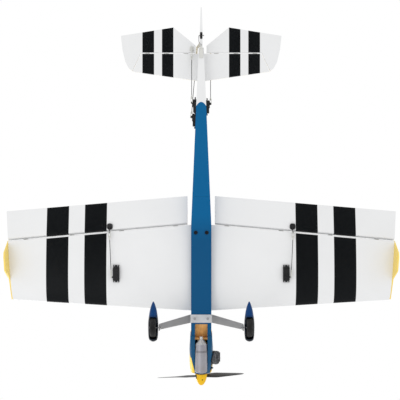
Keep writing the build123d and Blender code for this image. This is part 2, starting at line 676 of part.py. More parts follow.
# elevator and rudder linkages: parallelograms on the elevators, an opened joint at the rudder horn
ELEVATOR_THROW_DEG, RUDDER_THROW_DEG = 25.0, 30.0
for sign, side, z, arm in (
    (1, "left", LEFT_ELEVATOR_SERVO_Z, -1),
    (-1, "right", RIGHT_ELEVATOR_SERVO_Z, 1),
):
    mount = (sign * elevator_lug_x, ELEVATOR_SERVO_Y, z)
    case, screws = servo(mount, (sign, 0, 0), (0, -1, 0))
    add("body_servos", case)
    add("screws_and_bolts", screws)
    add(f"{side}_elevator_servo_arm", servo_arm(mount, (sign, 0, 0), (0, 0, arm)))
    start = (sign * ELEVATOR_ROD_X, ELEVATOR_SERVO_Y, z + arm * ARM_RADIUS)
    end = (sign * ELEVATOR_ROD_X, ELEVATOR_HINGE_Y, TAIL_Z + arm * ARM_RADIUS)
    pushrod(f"{side}_elevator_pushrod", start, end, (1, 0, 0), (1, 0, 0))
    base = (sign * ELEVATOR_ROD_X, ELEVATOR_HINGE_Y, TAIL_Z + arm * (half_tail + 0.05))
    height = ARM_RADIUS - half_tail - 0.05
    pieces = horn(base, (0, 0, arm), (0, -1, 0), height, PIN_HOLE, (13.0, 17.0), back=8.0)
    add(f"{side}_elevator_fittings", pieces)

mount = (rudder_lug_x, RUDDER_SERVO_Y, RUDDER_SERVO_Z)
case, screws = servo(mount, (1, 0, 0), (0, -1, 0))
add("body_servos", case)
add("screws_and_bolts", screws)
add("rudder_servo_arm", servo_arm(mount, (1, 0, 0), (0, 0, 1)))
RUDDER_ROD_Z = RUDDER_SERVO_Z + ARM_RADIUS
RUDDER_SWAY = ARM_RADIUS * (1 - math.cos(math.radians(RUDDER_THROW_DEG))) / 2
rudder_arm_tip = (RUDDER_ARM_X, RUDDER_SERVO_Y, RUDDER_ROD_Z)
rudder_rod_end = (RUDDER_HORN_X - RUDDER_SWAY, RUDDER_HINGE_Y, RUDDER_ROD_Z)
rudder_horn_z = RUDDER_ROD_Z - RUDDER_SWAY
pushrod("rudder_pushrod", rudder_arm_tip, rudder_rod_end, (1, 0, 0), (0, 0, 1), 2.2 + 2 * RUDDER_SWAY)
rudder_horn = horn(
    (half_tail + 0.05, RUDDER_HINGE_Y, rudder_horn_z),
    (1, 0, 0),
    (0, -1, 0),
    RUDDER_HORN_X - half_tail - 0.05,
    0.8 + RUDDER_SWAY + 0.3,
    (12.0, 17.0),
    back=8.0,
)
add("rudder_fittings", rudder_horn)

# ---------------------------------------------------------------- tail wheel
WIRE = 1.1
BRACKET_TOP = belly_z(815.0) - 0.1
post_y = RUDDER_HINGE_Y
bracket = block(-6, 6, 790.0, 822.0, BRACKET_TOP - 3.4, BRACKET_TOP - 2.2)
bracket = bracket + block(-2.5, 2.5, 820.0, post_y + 3.2, BRACKET_TOP - 7.0, BRACKET_TOP - 2.2)
bracket = bracket - rod((0, post_y, -40), (0, post_y, 10), WIRE + RUNNING)
add("tail_wheel_bracket", bracket)
axle_point = (0.0, TAIL_AXLE_Y, TAIL_AXLE_Z)
WIRE_SIDE = 7.5
wire_points = [
    (0.0, post_y, RUDDER_BOTTOM_Z - 0.8),
    (0.0, post_y, BRACKET_TOP - 12.5),
    (WIRE_SIDE, post_y + 9.0, BRACKET_TOP - 17.0),
    (WIRE_SIDE, TAIL_AXLE_Y, TAIL_AXLE_Z),
    (-9.0, TAIL_AXLE_Y, TAIL_AXLE_Z),
]
path = FilletPolyline(*wire_points, radius=2.4)
wire = sweep(Plane(origin=path @ 0, z_dir=path % 0) * Circle(WIRE), path=path)
add("tail_wheel_wire", wire)
TAIL_WHEEL_WIDTH = 8.0
wheel = Rot(0, 90, 0) * Cylinder(TAIL_WHEEL_RADIUS, TAIL_WHEEL_WIDTH)
wheel = fillet(wheel.edges().filter_by(GeomType.CIRCLE), 2.5) - Rot(0, 90, 0) * Cylinder(WIRE + RUNNING, 20)
add("tail_wheel", Pos(*axle_point) * wheel)
for x in (-6.0, 5.4):
    collar_ends = (x - 0.9, TAIL_AXLE_Y, TAIL_AXLE_Z), (x + 0.5, TAIL_AXLE_Y, TAIL_AXLE_Z)
    add("tail_wheel_wire", tube(*collar_ends, 2.6, WIRE + 0.01))

# ---------------------------------------------------------------- main undercarriage
GEAR_TOP = BELLY_Z - 0.1
GEAR_FOOT_X = AXLE_X - PANT_WIDTH / 2 - 2.4
gear_points = [(0.0, GEAR_TOP), (34.0, GEAR_TOP), (GEAR_FOOT_X, AXLE_Z + 16.0), (GEAR_FOOT_X, AXLE_Z - 9.0)]
gear_inner = [
    (0.0, GEAR_TOP - GEAR_THICKNESS),
    (32.4, GEAR_TOP - GEAR_THICKNESS),
    (GEAR_FOOT_X - GEAR_THICKNESS, AXLE_Z + 15.2),
    (GEAR_FOOT_X - GEAR_THICKNESS, AXLE_Z - 9.0),
]
front_face = make_face(Polyline(*(gear_points + gear_inner[::-1]), close=True))
gear_profile = extrude(Plane.XZ * front_face, 80, both=True)
gear_plan = [
    (0.0, GEAR_PLATE_Y - GEAR_PLATE_WIDTH / 2),
    (34.0, GEAR_PLATE_Y - GEAR_PLATE_WIDTH / 2),
    (GEAR_FOOT_X + 1, AXLE_Y - 8.5),
    (GEAR_FOOT_X + 1, AXLE_Y + 8.5),
    (34.0, GEAR_PLATE_Y + GEAR_PLATE_WIDTH / 2),
    (0.0, GEAR_PLATE_Y + GEAR_PLATE_WIDTH / 2),
]
gear_half = gear_profile & plan_plate(gear_plan, -220, 0)
axle_hole = rod((GEAR_FOOT_X - 10, AXLE_Y, AXLE_Z), (AXLE_X + 30, AXLE_Y, AXLE_Z), 2.05)
gear_half = gear_half - axle_hole
gear = gear_half + mirrored(gear_half)
GEAR_SCREWS = [(x, GEAR_PLATE_Y) for x in (-20.0, 20.0)]
for x, y in GEAR_SCREWS:
    gear = gear - rod((x, y, -60), (x, y, -40), 2.1)
    screw_head = rod((x, y, -50.4), (x, y, GEAR_TOP - GEAR_THICKNESS - 0.05), 4.0)
    add("screws_and_bolts", screw_head + rod((x, y, -49), (x, y, -45.2), 2.0))
add("landing_gear", gear)

axle = rod((GEAR_FOOT_X - 7.5, AXLE_Y, AXLE_Z), (AXLE_X + 10.8, AXLE_Y, AXLE_Z), 2.0)
nut = rod((GEAR_FOOT_X - 7.0, AXLE_Y, AXLE_Z), (GEAR_FOOT_X - 3.1, AXLE_Y, AXLE_Z), 4.2)
add("wheel_axles", both_sides(axle + nut))


def pant_ring(y, low, high, half_width, inset):
    """One cross-section of a wheel pant: an ellipse-like ring of points."""
    centre, height = (low + high) / 2, (high - low) / 2 - inset
    angles = [2 * math.pi * k / 16 for k in range(16)]
    return [(AXLE_X + (half_width - inset) * math.cos(a), y, centre + height * math.sin(a)) for a in angles]


PANT_STATIONS = (
    (PANT_FRONT, -160.0, -148.0, 3.5),
    (PANT_FRONT + 7, -173.0, -136.0, 12.4),
    (PANT_FRONT + 26, -177.0, -127.0, PANT_WIDTH / 2),
    (PANT_FRONT + 58, -176.0, -124.5, PANT_WIDTH / 2),
    (PANT_FRONT + 90, -166.0, -127.0, 10.4),
    (PANT_REAR, -150.0, -142.0, 2.0),
)


def pant_solid(inset):
    sections = []
    for i, (y, low, high, half_width) in enumerate(PANT_STATIONS):
        shift = inset if i == 0 else -inset if i == len(PANT_STATIONS) - 1 else 0.0
        small = min(inset, half_width - 1.0)
        sections.append(pant_ring(y + shift, low, high, half_width, small))
    return ring_loft(sections)


wheel_slot = block(AXLE_X - 11.6, AXLE_X + 11.6, AXLE_Y - 32.0, AXLE_Y + 32.0, -200, -166)
tyre_room = Rot(0, 90, 0) * Cylinder(WHEEL_RADIUS + 0.6, WHEEL_WIDTH + 1.0)
tyre_room = Pos(AXLE_X, AXLE_Y, AXLE_Z) * fillet(tyre_room.edges().filter_by(GeomType.CIRCLE), 7.0)
pant = pant_solid(0.0) - pant_solid(1.3) - wheel_slot - tyre_room
pant = pant - rod((100, AXLE_Y, AXLE_Z), (AXLE_X + 30, AXLE_Y, AXLE_Z), 2.05)
add("wheel_pants", pant)
add("wheel_pants", mirrored(pant))

tyre_cut = rod((AXLE_X - 20, AXLE_Y, AXLE_Z), (AXLE_X + 20, AXLE_Y, AXLE_Z), 15.0)
tyre = Pos(AXLE_X, AXLE_Y, AXLE_Z) * (Rot(0, 90, 0) * Cylinder(WHEEL_RADIUS, WHEEL_WIDTH))
tyre = fillet(tyre.edges().filter_by(GeomType.CIRCLE), 7.0) - tyre_cut
hub = rod((AXLE_X - 7.0, AXLE_Y, AXLE_Z), (AXLE_X + 7.0, AXLE_Y, AXLE_Z), 15.0)
dish = tube((AXLE_X + 3, AXLE_Y, AXLE_Z), (AXLE_X + 8, AXLE_Y, AXLE_Z), 12.5, 5.0)
dish += tube((AXLE_X - 8, AXLE_Y, AXLE_Z), (AXLE_X - 3, AXLE_Y, AXLE_Z), 12.5, 5.0)
hub = hub - dish - rod((AXLE_X - 20, AXLE_Y, AXLE_Z), (AXLE_X + 20, AXLE_Y, AXLE_Z), 2.0 + RUNNING)
collar = tube((AXLE_X + 8.2, AXLE_Y, AXLE_Z), (AXLE_X + 10.6, AXLE_Y, AXLE_Z), 3.4, 2.0 + 0.01)
add("left_tyre", tyre)
add("left_wheel_hub", hub)
add("right_tyre", mirrored(tyre))
add("right_wheel_hub", mirrored(hub))
add("wheel_axles", both_sides(collar))

# ---------------------------------------------------------------- engine
# local frame of the engine: x aft along the crankshaft, z out along the cylinder, y to the exhaust side
roll = math.radians(CYLINDER_ROLL_DEG)
CYLINDER_DIR = (-math.cos(roll), 0.0, -math.sin(roll))
engine = Plane(origin=(0, CYLINDER_Y, THRUST_Z), x_dir=(0, 1, 0), z_dir=CYLINDER_DIR).location


def bar_x(x0, x1, radius, y=0.0, z=0.0):
    return rod((x0, y, z), (x1, y, z), radius)


def bar_z(z0, z1, radius, x=0.0, y=0.0):
    return rod((x, y, z0), (x, y, z1), radius)


CASE_REAR, NOSE_END, SHAFT_RADIUS = 27.0, -52.0, 5.8
CARB_X, CARB_Z, LEVER_Y, LEVER_RADIUS, BARREL = -34.0, 21.0, -21.5, 12.0, 4.0
crankcase = bar_x(-20, CASE_REAR, 17.0) + bar_x(NOSE_END, -20, 9.5) + bar_z(0, 20, 16.5)
crankcase += Pos(6, 0, 0) * Box(40, 52, 6)
crankcase += bar_z(4, 13, 8.0, x=CARB_X)
crankcase -= bar_x(-12, 23, 14.5) + bar_x(NOSE_END - 1, -10, SHAFT_RADIUS + RUNNING) + bar_z(0, 21, 10.5)
LUG_HOLES = [(x, y) for x in (-8.0, 20.0) for y in (-22.5, 22.5)]
crankcase = cut(crankcase, [bar_z(-10, 10, 1.9, x, y) for x, y in LUG_HOLES])
add("crankcase", engine * crankcase)
mount_beams = [block(-14, 54, y - 5, y + 5, -9.0, -3.05) for y in (-24.0, 24.0)]
engine_mount = mount_beams[0] + mount_beams[1]
engine_mount += block(54, 59.95, -29, 29, -18, 0) + block(54, 59.95, -16, 29, -18, 18)
engine_mount -= bar_x(45, 65, 12.0)
engine_mount = cut(engine_mount, [bar_z(-20, 0, 1.9, x, y) for x, y in LUG_HOLES])
add("engine_mount", engine * engine_mount)
for x, y in LUG_HOLES:
    add("screws_and_bolts", engine * (bar_z(3.05, 5.2, 3.0, x, y) + bar_z(-12, 3.2, 1.75, x, y)))

barrel_z0, HEAD_Z = 20.05, 52.0
cylinder = bar_z(barrel_z0, HEAD_Z, 15.0)
FIN_COUNT, FIN_STEP = 9, 3.4
for k in range(FIN_COUNT):
    low = 22.5 + k * FIN_STEP
    cylinder += bar_z(low, low + 1.3, HEAD_RADIUS - 0.3)
cylinder += block(-12, 12, 10, 25.95, 23.0, 37.0)
cylinder -= bar_z(barrel_z0 - 1, HEAD_Z + 1, 10.5)
add("cylinder", engine * cylinder)
head = bar_z(HEAD_Z + 0.05, HEAD_Z + 3, HEAD_RADIUS)
for k in range(5):
    y = -14.0 + 7.0 * k
    reach = math.sqrt(HEAD_RADIUS**2 - y**2) - 1.0
    head += block(-reach, reach, y - 0.9, y + 0.9, HEAD_Z + 2.5, HEAD_Z + 8.0)
head += bar_z(HEAD_Z + 2.5, HEAD_Z + 7.0, 6.0)
head -= bar_z(HEAD_Z - 2, HEAD_Z + 9, 3.1)
add("cylinder_head", engine * head)
plug = bar_z(HEAD_Z + 1, HEAD_Z + 7.0, 3.05) + bar_z(HEAD_Z + 7.05, HEAD_Z + 11, 4.4)
plug += bar_z(HEAD_Z + 10, HEAD_Z + 16.0, 1.8)
add("cylinder_head", engine * plug)

carb = bar_z(13.05, 33.0, 8.0, x=CARB_X) - bar_z(CARB_Z, 34, 5.0, x=CARB_X)
carb += rod((CARB_X, -11, CARB_Z), (CARB_X, 12, CARB_Z), 6.0)
carb -= rod((CARB_X, -9.5, CARB_Z), (CARB_X, 30, CARB_Z), BARREL + RUNNING)
carb -= rod((CARB_X, -30, CARB_Z), (CARB_X, 0, CARB_Z), 1.5 + RUNNING)
carb += rod((CARB_X, 12.3, CARB_Z), (CARB_X, 20, CARB_Z), 2.0)
carb += rod((CARB_X, 11, CARB_Z), (CARB_X, 12.5, CARB_Z), 6.0)
carb -= bar_z(CARB_Z + 3, 36, 5.0, x=CARB_X)
add("carburettor", engine * carb)
throttle = rod((CARB_X, -9.2, CARB_Z), (CARB_X, 10.7, CARB_Z), BARREL)
throttle -= bar_z(0, 40, 2.8, x=CARB_X)
throttle += rod((CARB_X, LEVER_Y - 1, CARB_Z), (CARB_X, -9, CARB_Z), 1.5)
throttle += Pos(CARB_X, LEVER_Y, CARB_Z - LEVER_RADIUS / 2 - 0.75) * Box(5.0, 2.0, LEVER_RADIUS + 4.5)
lever_hole_z = CARB_Z - LEVER_RADIUS
throttle -= rod((CARB_X, LEVER_Y - 5, lever_hole_z), (CARB_X, LEVER_Y + 5, lever_hole_z), 1.6)
add("throttle_barrel", engine * throttle)

stub_gap = 26.0
muffler_stub = block(-11.9, 11.9, stub_gap, 40.0, 23.1, 36.9)


def muffler_bar(y0, y1, radius):
    return rod((0.0, y0, MUFFLER_Z), (0.0, y1, MUFFLER_Z), radius)


def muffler_cone(y0, r0, y1, r1):
    ends = ((y0, r0), (y1, r1))
    return loft([Plane(origin=(0, y, MUFFLER_Z), z_dir=(0, 1, 0)) * Circle(r) for y, r in ends])


MUFFLER_SEAM, CONE_START, CONE_END, OUTLET_RADIUS = -119.0, -97.0, -83.0, 5.0
front = muffler_bar(MUFFLER_FRONT, MUFFLER_SEAM - 0.1, MUFFLER_RADIUS)
front = fillet(front.edges().sort_by(Axis.Y)[0], 5.0)
front += engine * muffler_stub
front -= muffler_bar(MUFFLER_FRONT + 2, MUFFLER_SEAM, MUFFLER_RADIUS - 1.8)
front -= engine * block(-8, 8, stub_gap - 1, 44, 26, 34)
rear = muffler_bar(MUFFLER_SEAM, CONE_START, MUFFLER_RADIUS - 0.8)
rear += muffler_cone(CONE_START, MUFFLER_RADIUS - 0.8, CONE_END, 7.0)
rear += muffler_bar(MUFFLER_SEAM, MUFFLER_SEAM + 3.0, MUFFLER_RADIUS)
rear += muffler_bar(CONE_END - 1, -74.0, OUTLET_RADIUS)
rear -= muffler_bar(MUFFLER_SEAM - 1, CONE_START, MUFFLER_RADIUS - 2.6)
rear -= muffler_cone(CONE_START, MUFFLER_RADIUS - 2.6, CONE_END, 5.2)
rear -= muffler_bar(CONE_END - 4, -73.0, 3.6)
add("muffler", front)
add("muffler", rear)

# ---------------------------------------------------------------- crankshaft, propeller and spinner


def bar_y(y0, y1, radius, x=0.0, z=THRUST_Z):
    return rod((x, y0, z), (x, y1, z), radius)


shaft = bar_y(-197.8, -135, SHAFT_RADIUS) + bar_y(-218.5, -197.8, 3.8) + bar_y(-155.5, -147.5, 13.8)
add("crankshaft", shaft)
add("prop_hardware", bar_y(-200.2, -198.0, 12.0) - bar_y(-202, -196, 3.85))
add("prop_hardware", bar_y(-217.4, -212.1, 6.2) - bar_y(-220, -210, 3.85))

BLADE = (
    (9.0, 11.0, 7.5),
    (24.0, 19.0, 5.0),
    (50.0, 25.0, 3.8),
    (85.0, 23.0, 2.9),
    (118.0, 16.0, 2.0),
    (136.0, 8.0, 1.2),
)
PROP_PITCH = 152.0


def blade_section(radius, chord, thickness):
    angle = min(math.atan(PROP_PITCH / (2 * math.pi * radius)), math.radians(26))
    points = []
    for k in range(12):
        a = 2 * math.pi * k / 12
        u, v = chord / 2 * math.cos(a), thickness / 2 * math.sin(a) * (1.0 + 0.35 * math.cos(a))
        x = -u * math.cos(angle) + v * math.sin(angle)
        y = -u * math.sin(angle) - v * math.cos(angle)
        points.append((x, y, radius))
    return points


PROP_TURN_DEG = 90.0 + 13.0
blade = ring_loft([blade_section(*s) for s in BLADE])
blade += ring_loft([blade_section(*BLADE[-1]), blade_section(PROP_DIAMETER / 2, 3.0, 0.8)])
hub_bore = Rot(90, 0, 0) * Cylinder(3.85, 40)
prop = blade + Rot(0, 180, 0) * blade + Rot(90, 0, 0) * Cylinder(11.0, 9.8) - hub_bore
prop_place = Pos(0, PROP_Y, THRUST_Z) * Rot(0, PROP_TURN_DEG, 0)
add("propeller", prop_place * prop)


def spinner_solid(inset):
    base, tip, r = SPINNER_BASE_Y - 0.8, SPINNER_TIP_Y + inset, SPINNER_RADIUS - inset
    length = base - tip
    outline = [(r * math.sqrt(1 - (k / 8) ** 1.6), base - length * k / 8) for k in range(9)]
    face = make_face(Polyline(*([(0, base)] + outline), close=True))
    return Pos(0, 0, THRUST_Z) * revolve(face, axis=Axis.Y)


blade_slots = [prop_place * (Pos(0, 0, s * 15) * Box(26, 22, 24)) for s in (-1, 1)]
spinner = cut(spinner_solid(0.0) - (Pos(0, 0.1, 0) * spinner_solid(1.5)), blade_slots)
spinner -= bar_y(SPINNER_TIP_Y - 2, SPINNER_TIP_Y + 9, 2.0)
add("spinner", spinner)
add("spinner", bar_y(-202.0, -200.3, SPINNER_RADIUS - 0.1) - bar_y(-203, -199, 3.85))
add("prop_hardware", bar_y(-230.5, -218.6, 1.9) + bar_y(-232.5, -230.5, 1.9))

# ---------------------------------------------------------------- cowl
COWL_STATIONS = (
    (COWL_REAR, 34.2, -48.5, 65.5, 14.0),
    (-88.0, 34.9, -49.5, 65.0, 9.0),
    (-112.0, COWL_HALF_WIDTH, -50.0, 64.0, 4.6),
    (-140.0, COWL_HALF_WIDTH, -47.0, 59.0, 3.4),
    (-168.0, 36.0, -36.0, 50.0, 2.6),
    (COWL_FRONT, 32.5, -16.0, 40.0, 2.3),
)


def cowl_ring(y, half_width, low, high, power, inset):
    points = []
    centre, tall = (low + high) / 2, (high - low) / 2 - inset
    for k in range(24):
        a = 2 * math.pi * k / 24
        c, s = math.cos(a), math.sin(a)
        x = math.copysign(abs(c) ** (2 / power), c) * (half_width - inset)
        z = centre + math.copysign(abs(s) ** (2 / power), s) * tall
        points.append((x, y, z))
    return points


def cowl_solid(inset):
    rings = []
    for i, (y, w, low, high, power) in enumerate(COWL_STATIONS):
        place = y + inset if i == len(COWL_STATIONS) - 1 else y + (1.0 if i == 0 and inset else 0.0)
        rings.append(cowl_ring(place, w, low, high, power, inset))
    return ring_loft(rings)


cowl = cowl_solid(0.0) - cowl_solid(COWL_SKIN)
cowl -= ring_loft([body_section(y, -0.15, 14.0) for y in (FIREWALL_Y - 1, 0.0)])
cowl -= bar_y(-210, -185, 20.5) + block(-OUTLET_HALF_WIDTH, OUTLET_HALF_WIDTH, -200, -60, -70, -24)
cowl -= engine * bar_z(18, 90, HEAD_RADIUS + 3.0)
cowl -= engine * block(CARB_X - 10, CARB_X + 8, -10, 21, 14, 60)
add("cowl", cowl)

# ---------------------------------------------------------------- equipment inside the body
tank = fillet(block(-9.0, 26.0, -76.0, -8.0, 2.0, 46.0).edges(), 4.0)
add("fuel_tank", tank)
add("battery", fillet(block(-24.0, 24.0, -33.0, -6.0, -41.0, -12.0).edges(), 3.0))
add("receiver", fillet(block(2.0, 26.0, 290.0, 334.0, 24.0, 40.0).edges(), 1.5))
throttle_mount = (-1.0, 250.0, 36.5)
case, screws = servo(throttle_mount, (-1, 0, 0), (0, 1, 0))
add("body_servos", case)
add("screws_and_bolts", screws)
add("throttle_servo_arm", servo_arm(throttle_mount, (-1, 0, 0), (0, 0, 1)))
throttle_start = (throttle_mount[0] - ARM_OUT, throttle_mount[1], throttle_mount[2] + ARM_RADIUS)
lever_hole = engine * Location((CARB_X, LEVER_Y, CARB_Z - LEVER_RADIUS))
throttle_end = tuple(lever_hole.position)
EXHAUST_DIR = (math.sin(roll), 0.0, -math.cos(roll))
pushrod("throttle_pushrod", throttle_start, throttle_end, (1, 0, 0), EXHAUST_DIR, 5.0, 0.8)
tray = block(-28.0, 28.0, 232.0, 285.0, 22.5, 25.5)
add("fuselage_formers", tray & body_solid(BODY_SKIN + GLUE, -90, 806))

# ---------------------------------------------------------------- stance and output
drop, reach = AXLE_Z - TAIL_AXLE_Z, TAIL_AXLE_Y - AXLE_Y
span = math.hypot(drop, reach)
STANCE_DEG = math.degrees(math.atan2(-drop, reach) + math.asin((WHEEL_RADIUS - TAIL_WHEEL_RADIUS) / span))
tilt = Rot(-STANCE_DEG, 0, 0)
tilted = {name: [tilt * s for s in solids] for name, solids in MODEL.items()}
boxes = [s.bounding_box() for solids in tilted.values() for s in solids]
low_y, high_y = min(b.min.Y for b in boxes), max(b.max.Y for b in boxes)
low_x, high_x = min(b.min.X for b in boxes), max(b.max.X for b in boxes)
floor_z = min(b.min.Z for b in boxes)
SHIFT = Vector(-(low_x + high_x) / 2, -(low_y + high_y) / 2, -floor_z)


def placed(point):
    """A point of the level drawing, in the finished part's frame."""
    return (Pos(*SHIFT) * tilt * Location(point)).position


if __name__ == "__main__":
    for name, solids in tilted.items():
        shapes = [Pos(*SHIFT) * s for s in solids]
        export_step(shapes[0] if len(shapes) == 1 else Compound(children=shapes), f"parts/{name}.step")
    print(len(MODEL), "nodes, stance", round(STANCE_DEG, 3), "degrees")
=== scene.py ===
import json
import math

import bmesh
import bpy
from mathutils import Matrix, Vector


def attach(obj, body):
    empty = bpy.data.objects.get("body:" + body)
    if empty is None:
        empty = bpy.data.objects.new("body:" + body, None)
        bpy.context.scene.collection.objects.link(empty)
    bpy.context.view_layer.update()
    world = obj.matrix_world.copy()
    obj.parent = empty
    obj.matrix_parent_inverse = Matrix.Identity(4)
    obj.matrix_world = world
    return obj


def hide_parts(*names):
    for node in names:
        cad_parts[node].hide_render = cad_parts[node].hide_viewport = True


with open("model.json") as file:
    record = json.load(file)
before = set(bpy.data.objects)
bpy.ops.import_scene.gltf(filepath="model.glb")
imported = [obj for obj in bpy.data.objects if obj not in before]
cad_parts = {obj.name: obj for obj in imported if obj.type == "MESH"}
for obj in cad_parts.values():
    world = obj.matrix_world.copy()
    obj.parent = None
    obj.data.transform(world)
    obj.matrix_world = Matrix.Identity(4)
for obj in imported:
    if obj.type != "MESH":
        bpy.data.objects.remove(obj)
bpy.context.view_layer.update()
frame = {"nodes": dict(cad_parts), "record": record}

MM = 0.001

# ---------------------------------------------------------------- the level drawing and the stance
# Shapes are given level, in millimetres: +X left wing, +Y aft, +Z up, Z = 0 the wing's chord plane and
# Y = 0 near the wing root's leading edge. The frame stands the aeroplane on its wheels, nose up.
THRUST_HEIGHT = 12.0
PROP_CENTRE = Vector((0.0, -207.0, THRUST_HEIGHT))
joints = {j["name"]: j for j in frame["record"]["behaviour"]["joints"]}
thrust_axis = Vector(joints["propeller_spin"]["axis"])
stance = math.atan2(thrust_axis.z, -thrust_axis.y)
turn = Matrix.Rotation(-stance, 4, "X")
prop_place = Matrix.Translation(Vector(joints["propeller_spin"]["pos_m"]))
to_row = prop_place @ turn @ Matrix.Translation(-PROP_CENTRE * MM)


def row(point):
    """A level point in millimetres, in the row frame in metres."""
    return to_row @ (Vector(point) * MM)


# ---------------------------------------------------------------- camera
# It looks straight up at the level aeroplane, with the nose at the bottom of the picture.
CAMERA_LEVEL = (3.8, 346.5, -2600.0)
CAMERA_LENS, SENSOR, CLIP_END = 74.6, 36.0, 50.0
camera_data = bpy.data.cameras.new("camera")
camera_data.lens = CAMERA_LENS
camera_data.sensor_width = SENSOR
camera_data.clip_end = CLIP_END
camera = bpy.data.objects.new("camera", camera_data)
bpy.context.scene.collection.objects.link(camera)
right, up = turn.to_3x3() @ Vector((-1, 0, 0)), turn.to_3x3() @ Vector((0, 1, 0))
camera.matrix_world = Matrix(
    ((*right, 0), (*up, 0), (*right.cross(up), 0), (*row(CAMERA_LEVEL), 1))
).transposed()
bpy.context.scene.camera = camera
bpy.context.scene.view_settings.view_transform = "Standard"

# ---------------------------------------------------------------- node helpers
SOFT_EDGE = 0.4                                # half the width of a colour's edge
NOISE_LOW, NOISE_HIGH = 0.3, 0.7               # most of a noise lies between these


class Nodes:
    """A small builder for procedural materials. Colours are plain triples or outputs."""

    def __init__(self, name):
        self.material = bpy.data.materials.new(name)
        self.material.use_nodes = True
        self.tree = self.material.node_tree
        self.shader = self.tree.nodes["Principled BSDF"]
        self.coords = self.tree.nodes.new("ShaderNodeTexCoord").outputs["Object"]
        self.level_xyz = None

    def link(self, source, target):
        self.tree.links.new(source, target)

    def feed(self, socket, value):
        if hasattr(value, "is_output"):
            self.link(value, socket)
        elif isinstance(value, tuple):
            socket.default_value = (*value, 1.0)
        else:
            socket.default_value = value

    def math(self, operation, a, b=0.0):
        node = self.tree.nodes.new("ShaderNodeMath")
        node.operation = operation
        self.feed(node.inputs[0], a)
        self.feed(node.inputs[1], b)
        return node.outputs[0]

    def absolute(self, value):
        return self.math("ABSOLUTE", value)

    def minus(self, a, b):
        return self.math("SUBTRACT", a, b)

    def opposite(self, mask):
        return self.math("SUBTRACT", 1.0, mask)

    def both(self, a, b):
        return self.math("MULTIPLY", a, b)

    def either(self, a, b):
        return self.math("MAXIMUM", a, b)

    def mapping(self, scale, turned=0.0, moved=(0.0, 0.0, 0.0)):
        node = self.tree.nodes.new("ShaderNodeMapping")
        node.inputs["Scale"].default_value = scale
        node.inputs["Rotation"].default_value = (turned, 0, 0)
        node.inputs["Location"].default_value = moved
        self.link(self.coords, node.inputs["Vector"])
        return node.outputs[0]

    def level(self):
        """X, Y and Z of the level drawing, in millimetres."""
        if self.level_xyz is None:
            split = self.tree.nodes.new("ShaderNodeSeparateXYZ")
            origin = to_row.inverted().translation / MM
            self.link(self.mapping((1 / MM, 1 / MM, 1 / MM), stance, origin), split.inputs[0])
            self.level_xyz = list(split.outputs)
        return self.level_xyz

    def noise(self, scale, detail, rough=0.55, vector=None, distortion=0.0):
        node = self.tree.nodes.new("ShaderNodeTexNoise")
        node.inputs["Scale"].default_value = scale
        node.inputs["Detail"].default_value = detail
        node.inputs["Roughness"].default_value = rough
        node.inputs["Distortion"].default_value = distortion
        self.link(vector or self.coords, node.inputs["Vector"])
        return node.outputs["Fac"]

    def stretched(self, scale, detail=3.0, rough=0.6, distortion=0.0):
        """Noise with its own scale along each axis."""
        return self.noise(1.0, detail, rough, self.mapping(scale), distortion)

    def ramp(self, value, low, high, out_low=0.0, out_high=1.0):
        node = self.tree.nodes.new("ShaderNodeMapRange")
        node.inputs["From Min"].default_value = low
        node.inputs["From Max"].default_value = high
        node.inputs["To Min"].default_value = out_low
        node.inputs["To Max"].default_value = out_high
        self.link(value, node.inputs["Value"])
        return node.outputs[0]

    def uneven(self, scale, detail, low, high):
        """Noise spread between two values."""
        return self.ramp(self.noise(scale, detail), NOISE_LOW, NOISE_HIGH, low, high)

    def mix(self, factor, a, b, blend="MIX"):
        node = self.tree.nodes.new("ShaderNodeMix")
        node.data_type = "RGBA"
        node.blend_type = blend
        self.feed(node.inputs[0], factor)
        self.feed(node.inputs[6], a)
        self.feed(node.inputs[7], b)
        return node.outputs[2]

    def grey(self, value):
        node = self.tree.nodes.new("ShaderNodeCombineColor")
        for socket in node.inputs:
            self.link(value, socket)
        return node.outputs[0]

    def above(self, value, edge, soft=SOFT_EDGE):
        """0 below an edge and 1 above it, with a thin soft step."""
        return self.ramp(value, edge - soft, edge + soft)

    def between(self, value, low, high):
        return self.both(self.above(value, low), self.opposite(self.above(value, high)))

    def bump(self, height, depth, strength):
        """Relief of a depth in millimetres."""
        node = self.tree.nodes.new("ShaderNodeBump")
        node.inputs["Strength"].default_value = strength
        node.inputs["Distance"].default_value = depth * MM
        self.link(height, node.inputs["Height"])
        return node.outputs[0]

    def finish(self, color, roughness, normal=None, metallic=0.0, specular=0.5):
        self.feed(self.shader.inputs["Base Color"], color)
        self.feed(self.shader.inputs["Roughness"], roughness)
        self.shader.inputs["Metallic"].default_value = metallic
        self.shader.inputs["Specular IOR Level"].default_value = specular
        if normal is not None:
            self.link(normal, self.shader.inputs["Normal"])
        return self.material


def dimmed(color, share):
    return tuple(c * share for c in color)


# ---------------------------------------------------------------- materials
WHITE = (0.795, 0.80, 0.805)
BLACK = (0.003, 0.004, 0.005)
# the darker front blue is painted shade and the lighter rear blue is painted light, from how light falls
# along the body
SHADED_FRONT_BLUE, LIT_REAR_BLUE = (0.003, 0.078, 0.20), (0.001, 0.112, 0.285)
# the pants' near-black front colour is painted shade
COWL_BLUE, PANT_BLUE, PAINTED_PANT_SHADE = (0.008, 0.075, 0.17), (0.006, 0.045, 0.16), (0.008, 0.012, 0.02)
YELLOW, PLATE_YELLOW, SPINNER_YELLOW = (0.93, 0.64, 0.05), (0.94, 0.70, 0.17), (0.88, 0.52, 0.02)
FILM_SPECULAR, PLASTIC_SPECULAR, ROD_SPECULAR = 0.11, 0.3, 0.25


